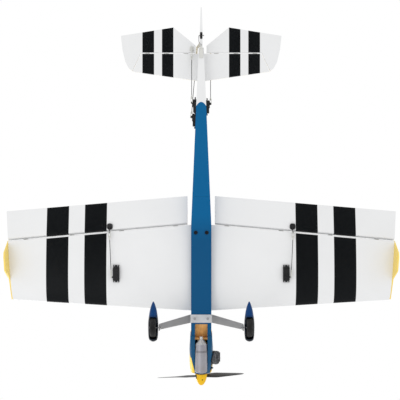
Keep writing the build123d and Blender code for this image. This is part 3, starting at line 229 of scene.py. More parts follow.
def film(name, base, accents=(), roughness=0.34, shade=0.025):
    """Heat-shrunk covering film: base colour, colour regions, faint wrinkles and overlap tone."""
    n = Nodes(name)
    color = base(n) if callable(base) else base
    for accent in accents:
        mask, tint = accent(n)
        color = n.mix(mask, color, tint)
    color = n.mix(1.0, color, n.grey(n.uneven(9.0, 3.0, 1.0 - shade, 1.0)), "MULTIPLY")
    wrinkle = n.noise(14.0, 3.0, 0.5, n.mapping((1.0, 0.45, 1.0)), 0.4)
    rough = n.uneven(60.0, 3.0, roughness - 0.05, roughness + 0.08)
    return n.finish(color, rough, n.bump(wrinkle, 0.8, 0.25), specular=FILM_SPECULAR)


def off_joint(n, joint):
    """0 in a band along a swept hinge line, given as sweep, front and rear, and 1 elsewhere."""
    x, y, _ = n.level()
    sweep, front, rear = joint
    behind = n.math("ADD", y, n.math("MULTIPLY", n.absolute(x), sweep))
    return n.opposite(n.between(behind, front, rear))


def stripes(pairs, joint):
    """Black bands at the same distances from the centreline on both sides, broken at a hinge line."""

    def accent(n):
        side = n.absolute(n.level()[0])
        inner, outer = [n.between(side, start, end) for start, end in pairs]
        return n.both(n.either(inner, outer), off_joint(n, joint)), BLACK

    return accent


def upper_side(z_split, joint):
    """Yellow on everything above a level height, but not on the faces along a hinge line."""

    def accent(n):
        z = n.level()[2]
        return n.both(n.above(z, z_split), off_joint(n, joint)), YELLOW

    return accent


def plastic(name, color, roughness=0.42, grain=900.0, variation=0.12):
    n = Nodes(name)
    light = tuple(min(1.0, c * 1.3 + 0.01) for c in color)
    tone = n.mix(n.uneven(24.0, 3.0, 0.0, variation), color, light)
    rough = n.uneven(130.0, 3.0, roughness - 0.07, roughness + 0.09)
    return n.finish(tone, rough, n.bump(n.noise(grain, 2.0), 0.12, 0.35), specular=PLASTIC_SPECULAR)


def metal(name, color):
    """Machined or drawn metal with fine lines along one direction and patchy tarnish."""
    n = Nodes(name)
    lines = n.stretched((60.0, 900.0, 900.0))
    tarnish = n.ramp(n.noise(38.0, 5.0, 0.6), 0.42, 0.72, 0.0, 0.4)
    lined = n.mix(n.ramp(lines, 0.35, 0.65, 0.0, 0.18), color, dimmed(color, 0.8))
    tone = n.mix(tarnish, lined, dimmed(color, 0.55))
    return n.finish(tone, n.uneven(90.0, 4.0, 0.18, 0.39), n.bump(lines, 0.08, 0.5), metallic=1.0)


def cast_metal(name, color, roughness=0.45):
    n = Nodes(name)
    grain = n.noise(650.0, 3.0, 0.6)
    patches = n.ramp(n.noise(45.0, 5.0), 0.4, 0.7, 0.0, 0.45)
    rough = n.ramp(grain, 0.2, 0.8, roughness - 0.1, roughness + 0.15)
    return n.finish(n.mix(patches, color, dimmed(color, 0.5)), rough, n.bump(grain, 0.3, 0.5), metallic=0.85)


# aft of this the muffler's rear cone is lightened with a painted highlight
MUFFLER_CONE_HIGHLIGHT = -97.0
JOINT_RINGS = ((-121.2, -120.1), (-118.0, -116.9))


def muffler_cast():
    """Bead-blasted aluminium with a turned joint ring, a painted highlight on the rear cone and heat-browned
    patches.
    """
    n = Nodes("muffler_metal")
    y = n.level()[1]
    grain = n.noise(420.0, 3.0, 0.6)
    patches = n.ramp(n.noise(40.0, 5.0), 0.45, 0.72, 0.0, 0.35)
    body = n.mix(patches, (0.36, 0.355, 0.385), (0.25, 0.21, 0.17))
    # painted highlight: the rear cone's lighter tone
    tone = n.mix(n.above(y, MUFFLER_CONE_HIGHLIGHT), body, (0.66, 0.65, 0.64))
    rings = n.either(*[n.between(y, front, rear) for front, rear in JOINT_RINGS])
    rough = n.ramp(grain, 0.2, 0.8, 0.40, 0.58)
    return n.finish(n.mix(rings, tone, (0.05, 0.045, 0.045)), rough, n.bump(grain, 0.1, 0.4), metallic=0.9)


def rubber():
    n = Nodes("tyre_rubber")
    grain = n.noise(500.0, 4.0)
    dust = n.ramp(n.noise(40.0, 5.0), 0.45, 0.75, 0.0, 0.35)
    tone = n.mix(dust, (0.010, 0.010, 0.011), (0.035, 0.033, 0.03))
    return n.finish(tone, n.ramp(grain, 0.2, 0.8, 0.68, 0.9), n.bump(grain, 0.3, 0.6))


def timber():
    """Thin plywood: long grain, pores and darker oil-soaked patches."""
    n = Nodes("plywood")
    light, dark = (0.80, 0.47, 0.17), (0.62, 0.27, 0.06)
    grain = n.stretched((260.0, 12.0, 90.0), 6.0, 0.62, 1.4)
    pores = n.stretched((2200.0, 60.0, 900.0), 2.0, 0.5)
    oil = n.ramp(n.noise(30.0, 4.0), 0.5, 0.72, 0.0, 0.5)
    tone = n.mix(oil, n.mix(n.ramp(grain, 0.32, 0.66), light, dark), dimmed(dark, 0.45))
    height = n.math("ADD", grain, n.math("MULTIPLY", pores, 0.4))
    return n.finish(tone, n.ramp(grain, 0.2, 0.8, 0.5, 0.75), n.bump(height, 0.4, 0.5))


# Hinge lines as sweep, front and rear: the wing's joint, the aileron's bevel and the tailplane's joint.
HINGE_ROOT, HINGE_SWEEP = 272.0, -0.0893
WING_JOINT = (-HINGE_SWEEP, HINGE_ROOT - 2.6, HINGE_ROOT + 3.2)
WING_BEVEL = (-HINGE_SWEEP, HINGE_ROOT - 1.2, HINGE_ROOT + 9.0)
TAIL_JOINT = (0.0, 808.8, 812.8)
WING_STRIPES = ((295.0, 364.0), (414.0, 483.0))
TAIL_STRIPES = ((88.0, 124.0), (149.0, 186.0))
WING_SPLIT, TAIL_SPLIT = 1.0, 28.0             # heights above which the upper side is yellow

TAPER_START, TAPER_END = 268.0, 823.0          # the body narrows and its belly rises between these
BELLY_RISE, DECK_RISE = (-45.0, -8.0), (34.0, 46.2)
BELLY_EDGE = 1.2                               # how far the belly's blue laps up the sides
FLANK_SLOPE, FLANK_DROP, FLANK_START = 0.13, 22.0, 300.0
WHITE_TAIL, STRIP_END, STRIP_ROUNDING = 600.0, 652.0, 0.052
# where the blue's painted shade forward turns into its painted light aft
BLUE_SHADE_CHANGE = (220.0, 300.0)


def blue_underside(n):
    """The body: blue sides and belly forward, white flanks aft with a blue strip on the belly; the blue is
    darker forward with painted shade and lighter aft with painted light.
    """
    x, y, z = n.level()
    over_line = n.above(n.minus(z, n.minus(n.math("MULTIPLY", y, FLANK_SLOPE), FLANK_DROP)), 0.0)
    flank = n.both(n.above(y, FLANK_START), over_line)
    belly = n.opposite(n.above(n.minus(z, n.ramp(y, TAPER_START, TAPER_END, *BELLY_RISE)), BELLY_EDGE))
    round_end = n.math("ADD", n.math("MULTIPLY", n.math("MULTIPLY", x, x), STRIP_ROUNDING), y)
    strip = n.both(belly, n.opposite(n.above(round_end, STRIP_END)))
    tail = n.both(n.above(y, WHITE_TAIL), n.opposite(strip))
    white = n.either(n.both(flank, n.opposite(belly)), tail)
    return n.mix(white, n.mix(n.ramp(y, *BLUE_SHADE_CHANGE), SHADED_FRONT_BLUE, LIT_REAR_BLUE), WHITE)


def deck_yellow(n):
    _, y, z = n.level()
    over_edge = n.above(n.minus(z, n.ramp(y, TAPER_START, TAPER_END, *DECK_RISE)), 0.0)
    return n.both(over_edge, n.opposite(n.above(y, WHITE_TAIL))), YELLOW


COWL_REAR, CHEEK_REAR, CHEEK_FRONT = -72.0, -142.0, -187.0
SPLIT_RISE, CHEEK_WIDTHS, CHEEK_SHIFT = (-32.0, 34.0), (24.6, 35.0), 4.0


def cowl_split(n):
    """Yellow above a line that runs down and forward, and on the cheeks beside the muffler at the front."""
    x, y, z = n.level()
    behind = n.above(y, CHEEK_REAR)
    over_line = n.above(n.minus(z, n.ramp(y, CHEEK_REAR, COWL_REAR, *SPLIT_RISE)), 0.0)
    side = n.absolute(n.math("ADD", x, CHEEK_SHIFT))
    cheek = n.above(n.minus(side, n.ramp(y, CHEEK_FRONT, CHEEK_REAR, *CHEEK_WIDTHS)), 0.0)
    front = n.both(n.opposite(behind), n.either(n.above(z, 0.0), cheek))
    return n.either(n.both(behind, over_line), front), YELLOW


def pant_nose_shade(n):
    """Painted shade: the front of a wheel pant darkened to near black, standing in for the shade in its wheel
    opening, fading into its blue.
    """
    return n.ramp(n.level()[1], -2.0, 10.0, 1.0, 0.0), PAINTED_PANT_SHADE


def linkage_rod(name, low, high):
    """A dark drawn rod between two level distances, with pale nylon clevises at its ends."""
    n = Nodes(name)
    grain = n.stretched((900.0, 60.0, 900.0))
    dark = n.mix(n.ramp(grain, 0.35, 0.65), (0.012, 0.012, 0.013), (0.030, 0.030, 0.031))
    pale = n.mix(n.uneven(60.0, 3.0, 0.0, 1.0), (0.50, 0.50, 0.47), (0.62, 0.62, 0.58))
    tone = n.mix(n.between(n.level()[1], low, high), pale, dark)
    rough = n.ramp(grain, NOISE_LOW, NOISE_HIGH, 0.30, 0.42)
    return n.finish(tone, rough, n.bump(grain, 0.06, 0.4), specular=ROD_SPECULAR)


PALE_NYLON, DARK_NYLON, WORN_NYLON = (0.66, 0.66, 0.63), (0.012, 0.012, 0.013), (0.3, 0.3, 0.3)
AILERON_HORN = (268.0, 302.0)                  # the horns are dark and lie between these


def nylon(name, dark_band=None):
    """Moulded nylon: pale, but dark in a band of distances from the centreline if one is given."""
    n = Nodes(name)
    color = PALE_NYLON
    if dark_band:
        color = n.mix(n.between(n.absolute(n.level()[0]), *dark_band), PALE_NYLON, DARK_NYLON)
    tone = n.mix(n.uneven(40.0, 3.0, 0.0, 0.06), color, WORN_NYLON)
    relief = n.bump(n.noise(900.0, 2.0), 0.1, 0.3)
    return n.finish(tone, n.uneven(130.0, 3.0, 0.35, 0.5), relief, specular=PLASTIC_SPECULAR)


BOLT_LENGTHS, BOLT_SIDES = (200.0, 290.0), (8.0, 26.0)


def screw_steel():
    """Bright screws, but blackened heads on the two wing bolts."""
    n = Nodes("screw_steel")
    x, y, _ = n.level()
    bolt = n.both(n.between(y, *BOLT_LENGTHS), n.between(n.absolute(x), *BOLT_SIDES))
    grain = n.noise(400.0, 3.0)
    bright = n.mix(n.ramp(grain, NOISE_LOW, NOISE_HIGH, 0.0, 0.4), (0.42, 0.42, 0.43), (0.25, 0.25, 0.26))
    rough = n.ramp(grain, NOISE_LOW, NOISE_HIGH, 0.3, 0.45)
    return n.finish(n.mix(bolt, bright, (0.012, 0.012, 0.013)), rough, n.bump(grain, 0.06, 0.3), metallic=0.7)


# the legs, outside the plate's half width, get painted shade
GEAR_PLATE_HALF, GEAR_BEND = 33.5, 1.0


def gear_metal():
    """Brushed sheet aluminium, with painted shade making the sloping legs darker than the flat plate."""
    n = Nodes("gear_aluminium")
    painted_leg_shade = n.above(n.absolute(n.level()[0]), GEAR_PLATE_HALF, GEAR_BEND)
    lines = n.stretched((30.0, 500.0, 500.0))
    scuffs = n.ramp(n.noise(30.0, 4.0), 0.4, 0.7, 0.0, 0.3)
    # painted shade: the legs' darker tone
    tone = n.mix(scuffs, n.mix(painted_leg_shade, (0.70, 0.71, 0.73), (0.36, 0.36, 0.365)), (0.3, 0.3, 0.3))
    rough = n.ramp(lines, NOISE_LOW, NOISE_HIGH, 0.35, 0.5)
    return n.finish(tone, rough, n.bump(lines, 0.08, 0.4), metallic=0.8)


wing_film = film("wing_film", WHITE, [upper_side(WING_SPLIT, WING_BEVEL), stripes(WING_STRIPES, WING_JOINT)])
tail_film = film("tail_film", WHITE, [upper_side(TAIL_SPLIT, TAIL_JOINT), stripes(TAIL_STRIPES, TAIL_JOINT)])
plain_film = film("white_film", WHITE)
body_film = film("body_film", blue_underside, [deck_yellow])
yellow_film = film("yellow_film", PLATE_YELLOW)
cowl_paint = film("cowl_paint", COWL_BLUE, [cowl_split], roughness=0.28)
pant_paint = film("pant_paint", PANT_BLUE, [pant_nose_shade], roughness=0.28)
spinner_paint = film("spinner_paint", SPINNER_YELLOW, roughness=0.25, shade=0.08)
black_plastic = plastic("black_plastic", (0.011, 0.011, 0.012))
grey_plastic = plastic("grey_plastic", (0.030, 0.031, 0.034), 0.38)
white_plastic = plastic("white_plastic", (0.74, 0.74, 0.71), 0.35)
tank_plastic = plastic("tank_plastic", (0.78, 0.76, 0.68), 0.3)
prop_plastic = plastic("prop_plastic", (0.03, 0.03, 0.032), 0.36, grain=700.0, variation=0.2)
smoke = plastic("canopy_smoke", (0.012, 0.02, 0.032), 0.10, grain=200.0, variation=0.05)
smoke.node_tree.nodes["Principled BSDF"].inputs["Coat Weight"].default_value = 0.8
steel = metal("steel", (0.50, 0.50, 0.51))
brass = metal("brass", (0.72, 0.55, 0.22))
dark_metal = cast_metal("dark_metal", (0.21, 0.215, 0.225), 0.5)
case_metal = cast_metal("case_metal", (0.55, 0.55, 0.56))
muffler_metal, screw_metal, aluminium = muffler_cast(), screw_steel(), gear_metal()
tyre_rubber, plywood = rubber(), timber()
aileron_fitting = nylon("aileron_fitting", AILERON_HORN)
tail_fitting = nylon("tail_fitting")
LINKAGES = {
    "aileron": linkage_rod("aileron_rod", 131.0, 223.0),
    "elevator": linkage_rod("elevator_rod", 675.0, 787.0),
    "rudder": linkage_rod("rudder_rod", 633.0, 806.0),
    "throttle": linkage_rod("throttle_rod", -156.0, 227.0),
}

# ---------------------------------------------------------------- mesh helpers
SIDES = ((1, "left"), (-1, "right"))
MERGE = 1e-6                                   # metres between points that are one


def mesh_object(name, vertices, faces, merge=0.0):
    """An object from level millimetre points, with its faces turned outwards."""
    mesh = bpy.data.meshes.new(name)
    mesh.from_pydata([row(v) for v in vertices], [], faces)
    tidy = bmesh.new()
    tidy.from_mesh(mesh)
    if merge:
        bmesh.ops.remove_doubles(tidy, verts=tidy.verts, dist=merge)
    bmesh.ops.recalc_face_normals(tidy, faces=tidy.faces)
    tidy.to_mesh(mesh)
    tidy.free()
    thing = bpy.data.objects.new(name, mesh)
    bpy.context.scene.collection.objects.link(thing)
    return thing


def shade_smooth(thing, sharp):
    """Smooth shading, with edges sharper than an angle in degrees left crisp."""
    thing.data.polygons.foreach_set("use_smooth", [True] * len(thing.data.polygons))
    thing.data.set_sharp_from_angle(angle=math.radians(sharp))


def add_bevel(thing, width):
    modifier = thing.modifiers.new("bevel", "BEVEL")
    modifier.width = width * MM
    modifier.segments = 2
    modifier.limit_method = "ANGLE"
    modifier.angle_limit = math.radians(38.0)
    modifier.use_clamp_overlap = True
    modifier.harden_normals = False


def piece(name, shape, material, body, replaced=(), bevel=0.0, sharp=35.0):
    """A visible piece from a mesh of level points, riding on a body."""
    thing = mesh_object(name, *shape, MERGE)
    shade_smooth(thing, sharp)
    thing.data.materials.append(material)
    if bevel:
        add_bevel(thing, bevel)
    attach(thing, body)
    if replaced:
        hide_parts(*replaced)
    return thing


def carve(thing, shape):
    """Takes a closed shape out of a piece for good."""
    cutter = mesh_object("cutter", *shape)
    modifier = thing.modifiers.new("carve", "BOOLEAN")
    modifier.object = cutter
    modifier.operation = "DIFFERENCE"
    modifier.solver = "EXACT"
    bpy.context.view_layer.update()
    shaped = bpy.data.meshes.new_from_object(thing.evaluated_get(bpy.context.evaluated_depsgraph_get()))
    thing.modifiers.remove(modifier)
    thing.data = shaped
    bpy.data.objects.remove(cutter)


def rings_mesh(rings, caps=True):
    """Quads between equal closed rings, with a face over each end if caps are wanted."""
    count = len(rings[0])
    vertices = [p for ring in rings for p in ring]
    faces = []
    for r in range(len(rings) - 1):
        for k in range(count):
            a, b = r * count + k, r * count + (k + 1) % count
            faces.append((a, b, b + count, a + count))
    if caps:
        faces.append(tuple(range(count)))
        faces.append(tuple((len(rings) - 1) * count + k for k in range(count)))
    return vertices, faces


def shell_mesh(stations, ring, wall, steps):
    """An open-ended shell: the outside rings forward, then the inside rings back."""
    line = smooth_points(stations, steps)
    rings = [ring(*v) for v in line] + [ring(*v, wall) for v in reversed(line)]
    vertices, faces = rings_mesh(rings, caps=False)
    count, last = len(rings[0]), len(rings) - 1
    faces += [(last * count + k, last * count + (k + 1) % count, (k + 1) % count, k) for k in range(count)]
    return vertices, faces


def box_mesh(x0, x1, y0, y1, z0, z1):
    return rings_mesh([[(x, y0, z0), (x, y1, z0), (x, y1, z1), (x, y0, z1)] for x in (x0, x1)])


def circle(count):
    """Cosine and sine at equal steps around a circle."""
    return [(math.cos(2 * math.pi * k / count), math.sin(2 * math.pi * k / count)) for k in range(count)]


def bar_mesh(centre, axis, radius, start, end, count):
    """A straight round bar between two distances along its axis."""
    axis = Vector(axis).normalized()
    side = axis.cross(Vector((0.3, 0.1, 1.0))).normalized()
    other = axis.cross(side)
    rings = []
    for distance in (start, end):
        base = Vector(centre) + axis * distance
        rings.append([tuple(base + side * radius * c + other * radius * s) for c, s in circle(count)])
    return rings_mesh(rings)


def between_points(t, a, b, c, d):
    """A Catmull-Rom curve from b to c."""
    bend, twist = 2 * a - 5 * b + 4 * c - d, 3 * b - a - 3 * c + d
    return 0.5 * (2 * b + (c - a) * t + bend * t**2 + twist * t**3)


def smooth_points(points, rounds):
    """A smooth curve through a few points of any number of values."""
    out = []
    for i in range(len(points) - 1):
        near = [points[min(max(i + step, 0), len(points) - 1)] for step in (-1, 0, 1, 2)]
        for k in range(rounds):
            out.append(tuple(between_points(k / rounds, *values) for values in zip(*near)))
    return out + [points[-1]]


# ---------------------------------------------------------------- wing
LE_ROOT, LE_SWEEP = -2.0, 0.0594
TE_ROOT, TE_SWEEP = 362.4, -0.0857
THICKNESS = 0.145
TIP_X, TIP_LE, TIP_TE = 600.0, (589.0, 33.0), (610.0, 310.0)
RIBS = (0, 40, 118, 196, 232, 290, 368, 446, 524, 580)
BAY_STEPS, CHORD_HALF_TURNS = 6, 22            # rings in a bay, points along a chord
SAG, SAG_START, SAG_LENGTH = 0.55, 0.26, 0.68  # depth, and its part of the chord
WING_GAP, AILERON_GAP = 0.7, 0.8               # from the hinge line to the wing and to the aileron


def le(x):
    return LE_ROOT + LE_SWEEP * abs(x)


def te(x):
    return TE_ROOT + TE_SWEEP * abs(x)


def hinge(x):
    return HINGE_ROOT + HINGE_SWEEP * abs(x)


def section_half(x, y):
    """Half the thickness of the symmetrical four-digit aerofoil."""
    chord = te(x) - le(x)
    t = min(max((y - le(x)) / chord, 0.0), 1.0)
    shape = 0.2969 * math.sqrt(t) - 0.1260 * t - 0.3516 * t**2 + 0.2843 * t**3 - 0.1036 * t**4
    return 5 * THICKNESS * chord * shape


def tip_x(y):
    return TIP_LE[0] + (TIP_TE[0] - TIP_LE[0]) * (y - TIP_LE[1]) / (TIP_TE[1] - TIP_LE[1])


def bay_sag(x, t):
    """How far the film sinks between two ribs, behind the sheeted leading edge."""
    bays = [(a, b) for a, b in zip(RIBS, RIBS[1:]) if a <= abs(x) <= b]
    if not bays or not SAG_START <= t <= SAG_START + SAG_LENGTH:
        return 0.0
    a, b = bays[0]
    along = max(math.sin(math.pi * (t - SAG_START) / SAG_LENGTH), 0.0)
    return SAG * math.sin(math.pi * (abs(x) - a) / (b - a)) ** 2 * along**0.5


CHORD_STEPS = [0.5 * (1 - math.cos(math.pi * k / CHORD_HALF_TURNS)) for k in range(CHORD_HALF_TURNS + 1)]


def wing_ring(x):
    """Top from the nose aft, then the underside forward again; outboard points slide to the slanted tip."""
    ring = []
    for sign, steps in ((1, CHORD_STEPS), (-1, CHORD_STEPS[-1:0:-1])):
        for t in steps:
            y = le(x) + (hinge(x) - WING_GAP - le(x)) * t**1.15
            share = abs(x) / TIP_X
            height = max(section_half(x, y) - bay_sag(x, t), 0.05)
            ring.append((math.copysign(tip_x(y) * share, x), y, sign * height))
    return ring


half_x = {a + (b - a) * k / BAY_STEPS for a, b in zip(RIBS, RIBS[1:]) for k in range(BAY_STEPS + 1)}
half_x |= {TIP_X - 3.0, TIP_X}
wing_x = sorted(half_x | {-x for x in half_x})
wing_shape = rings_mesh([wing_ring(x) for x in wing_x])
piece("wing_covering", wing_shape, wing_film, "root", ["wing_skin"], sharp=50)

AILERON_BEVEL = math.radians(28.0)
AILERON_ROOT, AILERON_END = 43.0, 599.5
TE_HALF = 0.95                                 # half the trailing edge's thickness


def aileron_outline(x):
    """Y and Z around a wedge: bevelled front, convex shoulders, thin rounded trailing edge."""
    front, rear = hinge(x) + AILERON_GAP, te(x)
    height = section_half(x, front)
    shoulder = front + height * math.tan(AILERON_BEVEL)
    top = [
        (front + 0.4, 0.0),
        (front + (shoulder - front) * 0.5, height * 0.5),
        (shoulder - 0.5, height * 0.96),
        (shoulder + 0.9, height * 0.985),
    ]
    for t in [k / 9 for k in range(1, 9)]:
        top.append((shoulder + (rear - shoulder) * t, height + (TE_HALF - height) * t))
    top.append((rear - 0.5, 0.9))
    return top + [(rear, 0.0)] + [(y, -z) for y, z in reversed(top[1:])]


def aileron_mesh(sign):
    rings = []
    for x in [AILERON_ROOT, 44.5] + [60.0 + 18.0 * k for k in range(30)] + [598.0, AILERON_END]:
        share = (x - AILERON_ROOT) / (AILERON_END - AILERON_ROOT)
        ring = []
        for y, z in aileron_outline(x):
            ring.append((sign * (AILERON_ROOT + share * (tip_x(y) - 0.05 - AILERON_ROOT)), y, z))
        rings.append(ring)
    return rings_mesh(rings)


for sign, side in SIDES:
    name = f"{side}_aileron"
    piece(f"{name}_covering", aileron_mesh(sign), wing_film, name, [name], sharp=40)

BODY_HALF, BODY_NARROWING = 31.3, 23.3
PLUG_X, PLUG_SHIFT = 34.0, -1.4
PLUG_OUT = (-6.0, -0.3, 0.08)                  # its rings, out from the body side


def body_side(y):
    return BODY_HALF - BODY_NARROWING * max(0.0, (y - TAPER_START) / (TAPER_END - TAPER_START))


def root_plug(sign):
    """The wing's trailing edge beside the body, ending flush with its tapering side."""
    outline = [(y + PLUG_SHIFT, z) for y, z in aileron_outline(PLUG_X)]
    return rings_mesh([[(sign * (body_side(y) + out), y, z) for y, z in outline] for out in PLUG_OUT])


for sign, side in SIDES:
    piece(f"{side}_root_trailing_edge", root_plug(sign), wing_film, "root", sharp=40)

# ---------------------------------------------------------------- cowl
# Stations from the rear forward: y, half width, bottom, top, and how square the section is.
COWL = (
    (-72.0, 34.2, -48.5, 65.5, 14.0),
    (-88.0, 34.9, -49.5, 65.0, 9.0),
    (-112.0, 36.6, -50.0, 64.0, 4.6),
    (-140.0, 36.6, -47.0, 59.0, 3.4),
    (-168.0, 36.0, -36.0, 50.0, 2.6),
    (-193.0, 32.5, -16.0, 40.0, 2.3),
    (-194.5, 29.5, -13.0, 37.0, 2.2),
    (-195.0, 22.5, -8.0, 32.0, 2.0),
)
COWL_WALL = 1.4
CYLINDER_ROLL = math.radians(30.0)
CYLINDER_AXIS = Vector((-math.cos(CYLINDER_ROLL), 0.0, -math.sin(CYLINDER_ROLL)))
EXHAUST_AXIS = Vector((math.sin(CYLINDER_ROLL), 0.0, -math.cos(CYLINDER_ROLL)))
ENGINE_CENTRE = Vector((0.0, -145.0, THRUST_HEIGHT))
CARBURETTOR = ENGINE_CENTRE + Vector((0, -34, 0))


def cowl_ring(y, half_width, low, high, power, inset=0.0):
    """A rounded rectangle across the cowl; the larger the power, the squarer its corners."""
    ring = []
    centre, tall = (low + high) / 2, (high - low) / 2 - inset
    for c, s in circle(64):
        x = math.copysign(abs(c) ** (2 / power), c) * (half_width - inset)
        ring.append((x, y, centre + math.copysign(abs(s) ** (2 / power), s) * tall))
    return ring


cowl_shape = shell_mesh(COWL, cowl_ring, COWL_WALL, 6)
cowl = piece("cowl_shell", cowl_shape, cowl_paint, "root", ["cowl"], sharp=40)
muffler_opening = box_mesh(x0=-19.4, x1=19.4, y0=-215, y1=-60, z0=-80, z1=-24)
cylinder_opening = bar_mesh(ENGINE_CENTRE, CYLINDER_AXIS, radius=24.0, start=18.0, end=90.0, count=48)
carburettor_opening = bar_mesh(CARBURETTOR, CYLINDER_AXIS, radius=9.5, start=14.0, end=70.0, count=32)
for opening in (muffler_opening, cylinder_opening, carburettor_opening):
    carve(cowl, opening)
shade_smooth(cowl, 40)

# ---------------------------------------------------------------- wheel pants
# Stations from the nose aft: y, half width, bottom and top.
PANT = (
    (-71.0, 2.0, -157.0, -151.0),
    (-69.0, 7.0, -164.0, -145.0),
    (-63.5, 12.4, -172.5, -136.5),
    (-45.0, 14.7, -176.5, -127.0),
    (-13.0, 14.8, -176.0, -124.5),
    (19.0, 10.4, -166.0, -127.0),
    (38.0, 4.8, -154.0, -136.5),
    (46.0, 0.8, -147.5, -144.5),
)
PANT_CENTRE, PANT_WALL, THINNEST = 142.0, 1.3, 0.6
WHEEL_SLOT_HALF, WHEEL_SLOT = 11.6, (-61.0, 3.0, -200.0, -166.0)


def pant_ring(sign, y, half_width, low, high):
    middle, tall = (low + high) / 2, (high - low) / 2
    return [(sign * (PANT_CENTRE + half_width * c), y, middle + tall * s) for c, s in circle(40)]


for sign, side in SIDES:
    shape = rings_mesh([pant_ring(sign, *v) for v in smooth_points(PANT, 5)])
    # the CAD node holds both pants, so one piece stands for it
    replaced = ["wheel_pants"] if side == "left" else []
    pant = piece(f"{side}_pant_shell", shape, pant_paint, "root", replaced, sharp=50)
    hollow = []
    for y, half_width, low, high in smooth_points(PANT[1:-1], 5):
        half_inside = max(half_width - PANT_WALL, THINNEST)
        hollow.append(pant_ring(sign, y, half_inside, low + PANT_WALL, high - PANT_WALL))
    carve(pant, rings_mesh(hollow))
    slot_x = sorted(sign * (PANT_CENTRE + out) for out in (-WHEEL_SLOT_HALF, WHEEL_SLOT_HALF))
    carve(pant, box_mesh(*slot_x, *WHEEL_SLOT))
    shade_smooth(pant, 40)

# ---------------------------------------------------------------- canopy
# Stations from the front aft: y, half width and height over the deck.
CANOPY = (
    (40.0, 15.5, 1.2),
    (52.0, 19.5, 9.0),
    (85.0, 24.0, 26.0),
    (135.0, 24.8, 35.6),
    (190.0, 20.0, 22.0),
    (222.0, 14.0, 6.0),
    (230.0, 11.5, 1.2),
)
CANOPY_BASE, CANOPY_STEPS = 62.0, 28


def canopy_ring(y, width, height):
    angles = [math.pi * k / CANOPY_STEPS for k in range(CANOPY_STEPS + 1)]
    return [(width * math.cos(a), y, CANOPY_BASE + height * math.sin(a)) for a in angles]


canopy_shape = rings_mesh([canopy_ring(*v) for v in smooth_points(CANOPY, 6)])
piece("canopy_bubble", canopy_shape, smoke, "root", ["canopy"], sharp=50)

# ---------------------------------------------------------------- propeller and spinner
# Stations from the hub out: radius, chord and thickness.
BLADE = (
    (8.0, 10.5, 7.4),
    (14.0, 13.0, 6.6),
    (24.0, 18.5, 5.0),
    (50.0, 24.6, 3.7),
    (85.0, 22.6, 2.8),
    (118.0, 15.8, 1.9),
    (134.0, 9.0, 1.3),
    (139.2, 2.6, 0.7),
)
PITCH, STEEPEST, CAMBER = 152.0, math.radians(26), 0.35
PROP_TURN = math.radians(103.0)
HALF_TURNS = (PROP_TURN, PROP_TURN + math.pi)
SHAFT_AXIS = (0, 1, 0)


def blade_ring(radius, chord, thickness):
    """A blade's section at a radius, turned to its pitch there."""
    angle = min(math.atan(PITCH / (2 * math.pi * radius)), STEEPEST)
    across, along = math.cos(angle), math.sin(angle)
    ring = []
    for c, s in circle(24):
        u, v = chord / 2 * c, thickness / 2 * s * (1.0 + CAMBER * c)
        ring.append((-u * across + v * along, -u * along - v * across, radius))
    return ring


def spun(point, angle):
    return tuple(PROP_CENTRE + Matrix.Rotation(angle, 3, "Y") @ Vector(point))


for half, angle in zip("ab", HALF_TURNS):
    blade = rings_mesh([[spun(p, angle) for p in blade_ring(*v)] for v in smooth_points(BLADE, 5)])
    replaced = ["propeller"] if half == "a" else []
    piece(f"propeller_blade_{half}", blade, prop_plastic, "propeller", replaced, sharp=60)
hub = bar_mesh(PROP_CENTRE, SHAFT_AXIS, radius=10.9, start=-4.9, end=4.9, count=48)
piece("propeller_hub", hub, prop_plastic, "propeller", bevel=0.8)

SPINNER_BASE, SPINNER_TIP, SPINNER_RADIUS = -201.8, -237.5, 19.0
SPINNER_WALL, SPINNER_FULLNESS, SPINNER_STEPS = 1.4, 1.6, 24


def spinner_rings(wall):
    """Rings from the base to the tip, a wall's thickness inside the outer shape."""
    rings = []
    radius, tip = SPINNER_RADIUS - wall, SPINNER_TIP + wall
    for t in [k / SPINNER_STEPS for k in range(SPINNER_STEPS + 1)]:
        r = max(radius * math.sqrt(max(1 - t**SPINNER_FULLNESS, 0.0)), 0.25)
        y = SPINNER_BASE + (tip - SPINNER_BASE) * t
        rings.append([(r * c, y, THRUST_HEIGHT + r * s) for c, s in circle(56)])
    return rings


cone, inside = rings_mesh(spinner_rings(0.0)), spinner_rings(SPINNER_WALL)
spinner = piece("spinner_cone", cone, spinner_paint, "propeller", ["spinner"], sharp=50)
inside[0] = [(x, y + 2.0, z) for x, y, z in inside[0]]
carve(spinner, rings_mesh(inside))
for angle in HALF_TURNS:
    blade_notch, faces = box_mesh(x0=-8.8, x1=8.8, y0=-7.2, y1=7.2, z0=6.0, z1=27.0)
    carve(spinner, ([spun(p, angle) for p in blade_notch], faces))
screw_hole = bar_mesh((0, SPINNER_TIP, THRUST_HEIGHT), SHAFT_AXIS, radius=2.4, start=-3.0, end=6.0, count=24)
carve(spinner, screw_hole)
shade_smooth(spinner, 35)
plate = bar_mesh((0, 0, THRUST_HEIGHT), SHAFT_AXIS, radius=18.9, start=-202.0, end=-200.3, count=56)
piece("spinner_plate", plate, spinner_paint, "propeller", bevel=0.3)

SCREW_PLACE = PROP_CENTRE + Vector((0, -10, 0))
for k, angle in enumerate(HALF_TURNS):
    out = Matrix.Rotation(angle, 3, "Y") @ Vector((1, 0, 0))
    screw = bar_mesh(SCREW_PLACE, out, radius=1.9, start=13.0, end=16.9, count=20)
    piece(f"spinner_screw_{k}", screw, black_plastic, "propeller", bevel=0.2)

needle_from = CARBURETTOR + EXHAUST_AXIS * -3.0
needle = bar_mesh(needle_from, CYLINDER_AXIS, radius=2.2, start=30.0, end=41.0, count=20)
piece("needle_valve", needle, black_plastic, "root", bevel=0.3)

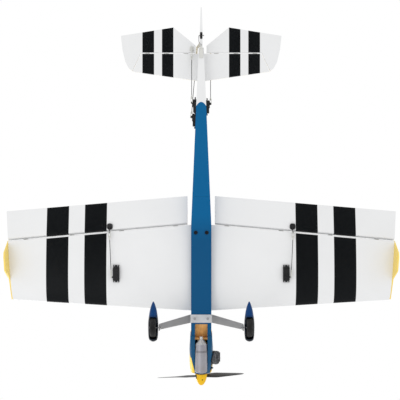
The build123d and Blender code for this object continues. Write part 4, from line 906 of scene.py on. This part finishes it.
# ---------------------------------------------------------------- CAD nodes that keep their shape
# Each node's material and bevel width.
FINISH = {
    "belly_pan": (body_film, 0.8),
    "fuselage_shell": (body_film, 1.2),
    "tip_plates": (yellow_film, 0.9),
    "stabilizer": (tail_film, 1.6),
    "left_elevator": (tail_film, 1.4),
    "right_elevator": (tail_film, 1.4),
    "fin": (plain_film, 1.6),
    "rudder": (plain_film, 1.4),
    "wing_frame": (plywood, 0.0),
    "fuselage_formers": (plywood, 0.2),
    "landing_gear": (aluminium, 0.5),
    "muffler": (muffler_metal, 0.5),
    "crankcase": (case_metal, 0.4),
    "cylinder": (dark_metal, 0.2),
    "cylinder_head": (dark_metal, 0.3),
    "carburettor": (dark_metal, 0.3),
    "engine_mount": (grey_plastic, 0.6),
    "throttle_barrel": (brass, 0.1),
    "fuel_tank": (tank_plastic, 0.0),
    "battery": (yellow_film, 0.0),
    "receiver": (black_plastic, 0.0),
    "aileron_servos": (black_plastic, 0.5),
    "body_servos": (black_plastic, 0.5),
    "tail_wheel": (tyre_rubber, 0.0),
    "tail_wheel_bracket": (tail_fitting, 0.3),
    "fixed_hinges": (tail_fitting, 0.0),
    "screws_and_bolts": (screw_metal, 0.0),
    "left_tyre": (tyre_rubber, 0.0),
    "right_tyre": (tyre_rubber, 0.0),
    "left_wheel_hub": (white_plastic, 0.4),
    "right_wheel_hub": (white_plastic, 0.4),
}
for name, thing in frame["nodes"].items():
    if name.endswith("_fittings"):
        finish = (aileron_fitting if "aileron" in name else tail_fitting, 0.2)
    elif name.endswith("_pushrod"):
        finish = (LINKAGES[name.replace("_pushrod", "").split("_")[-1]], 0.0)
    elif name.endswith("_servo_arm"):
        finish = (black_plastic, 0.2)
    else:
        finish = FINISH.get(name, (steel, 0.0))
    material, width = finish
    thing.data.materials.clear()
    thing.data.materials.append(material)
    shade_smooth(thing, 32)
    if width:
        add_bevel(thing, width)

# ---------------------------------------------------------------- floor, light
FLOOR_HALF, FLOOR_DROP = 30.0, 0.0005          # metres
floor_paint = Nodes("floor_paint")
floor_paint.finish(floor_paint.grey(floor_paint.uneven(3.0, 3.0, 0.81, 0.83)), 0.6)
# the floor is a sheet seen from above only, so that it doesn't hide the aeroplane's underside from below
facing = floor_paint.tree.nodes.new("ShaderNodeNewGeometry").outputs["Backfacing"]
clear = floor_paint.tree.nodes.new("ShaderNodeBsdfTransparent")
choose = floor_paint.tree.nodes.new("ShaderNodeMixShader")
floor_paint.link(facing, choose.inputs[0])
floor_paint.link(floor_paint.shader.outputs[0], choose.inputs[1])
floor_paint.link(clear.outputs[0], choose.inputs[2])
floor_paint.link(choose.outputs[0], floor_paint.tree.nodes["Material Output"].inputs["Surface"])
floor_mesh = bpy.data.meshes.new("floor")
corners = [(x * FLOOR_HALF, y * FLOOR_HALF, -FLOOR_DROP) for x, y in ((-1, -1), (1, -1), (1, 1), (-1, 1))]
floor_mesh.from_pydata(corners, [], [(0, 1, 2, 3)])
floor = bpy.data.objects.new("floor", floor_mesh)
floor.data.materials.append(floor_paint.material)
# it neither shades the underside nor throws light up at it, as in the photo
floor.visible_shadow = False
floor.visible_diffuse = False
bpy.context.scene.collection.objects.link(floor)

world = bpy.data.worlds.new("studio")
world.use_nodes = True
bpy.context.scene.world = world
sky = world.node_tree.nodes["Background"]
sky.inputs["Color"].default_value = (1.0, 1.0, 1.0, 1.0)
sky.inputs["Strength"].default_value = 1.0


LIGHT_TARGET = (0, 0, 0.15)


def soft_light(name, place, size, power):
    data = bpy.data.lights.new(name, "AREA")
    data.shape = "DISK"
    data.size = size
    data.energy = power
    lamp = bpy.data.objects.new(name, data)
    lamp.location = place
    lamp.rotation_euler = (Vector(LIGHT_TARGET) - lamp.location).to_track_quat("-Z", "Y").to_euler()
    bpy.context.scene.collection.objects.link(lamp)


soft_light("key_above", (1.6, -1.8, 2.6), size=1.6, power=32.0)
soft_light("key_below", (1.4, -1.2, -1.9), size=1.4, power=7.0)
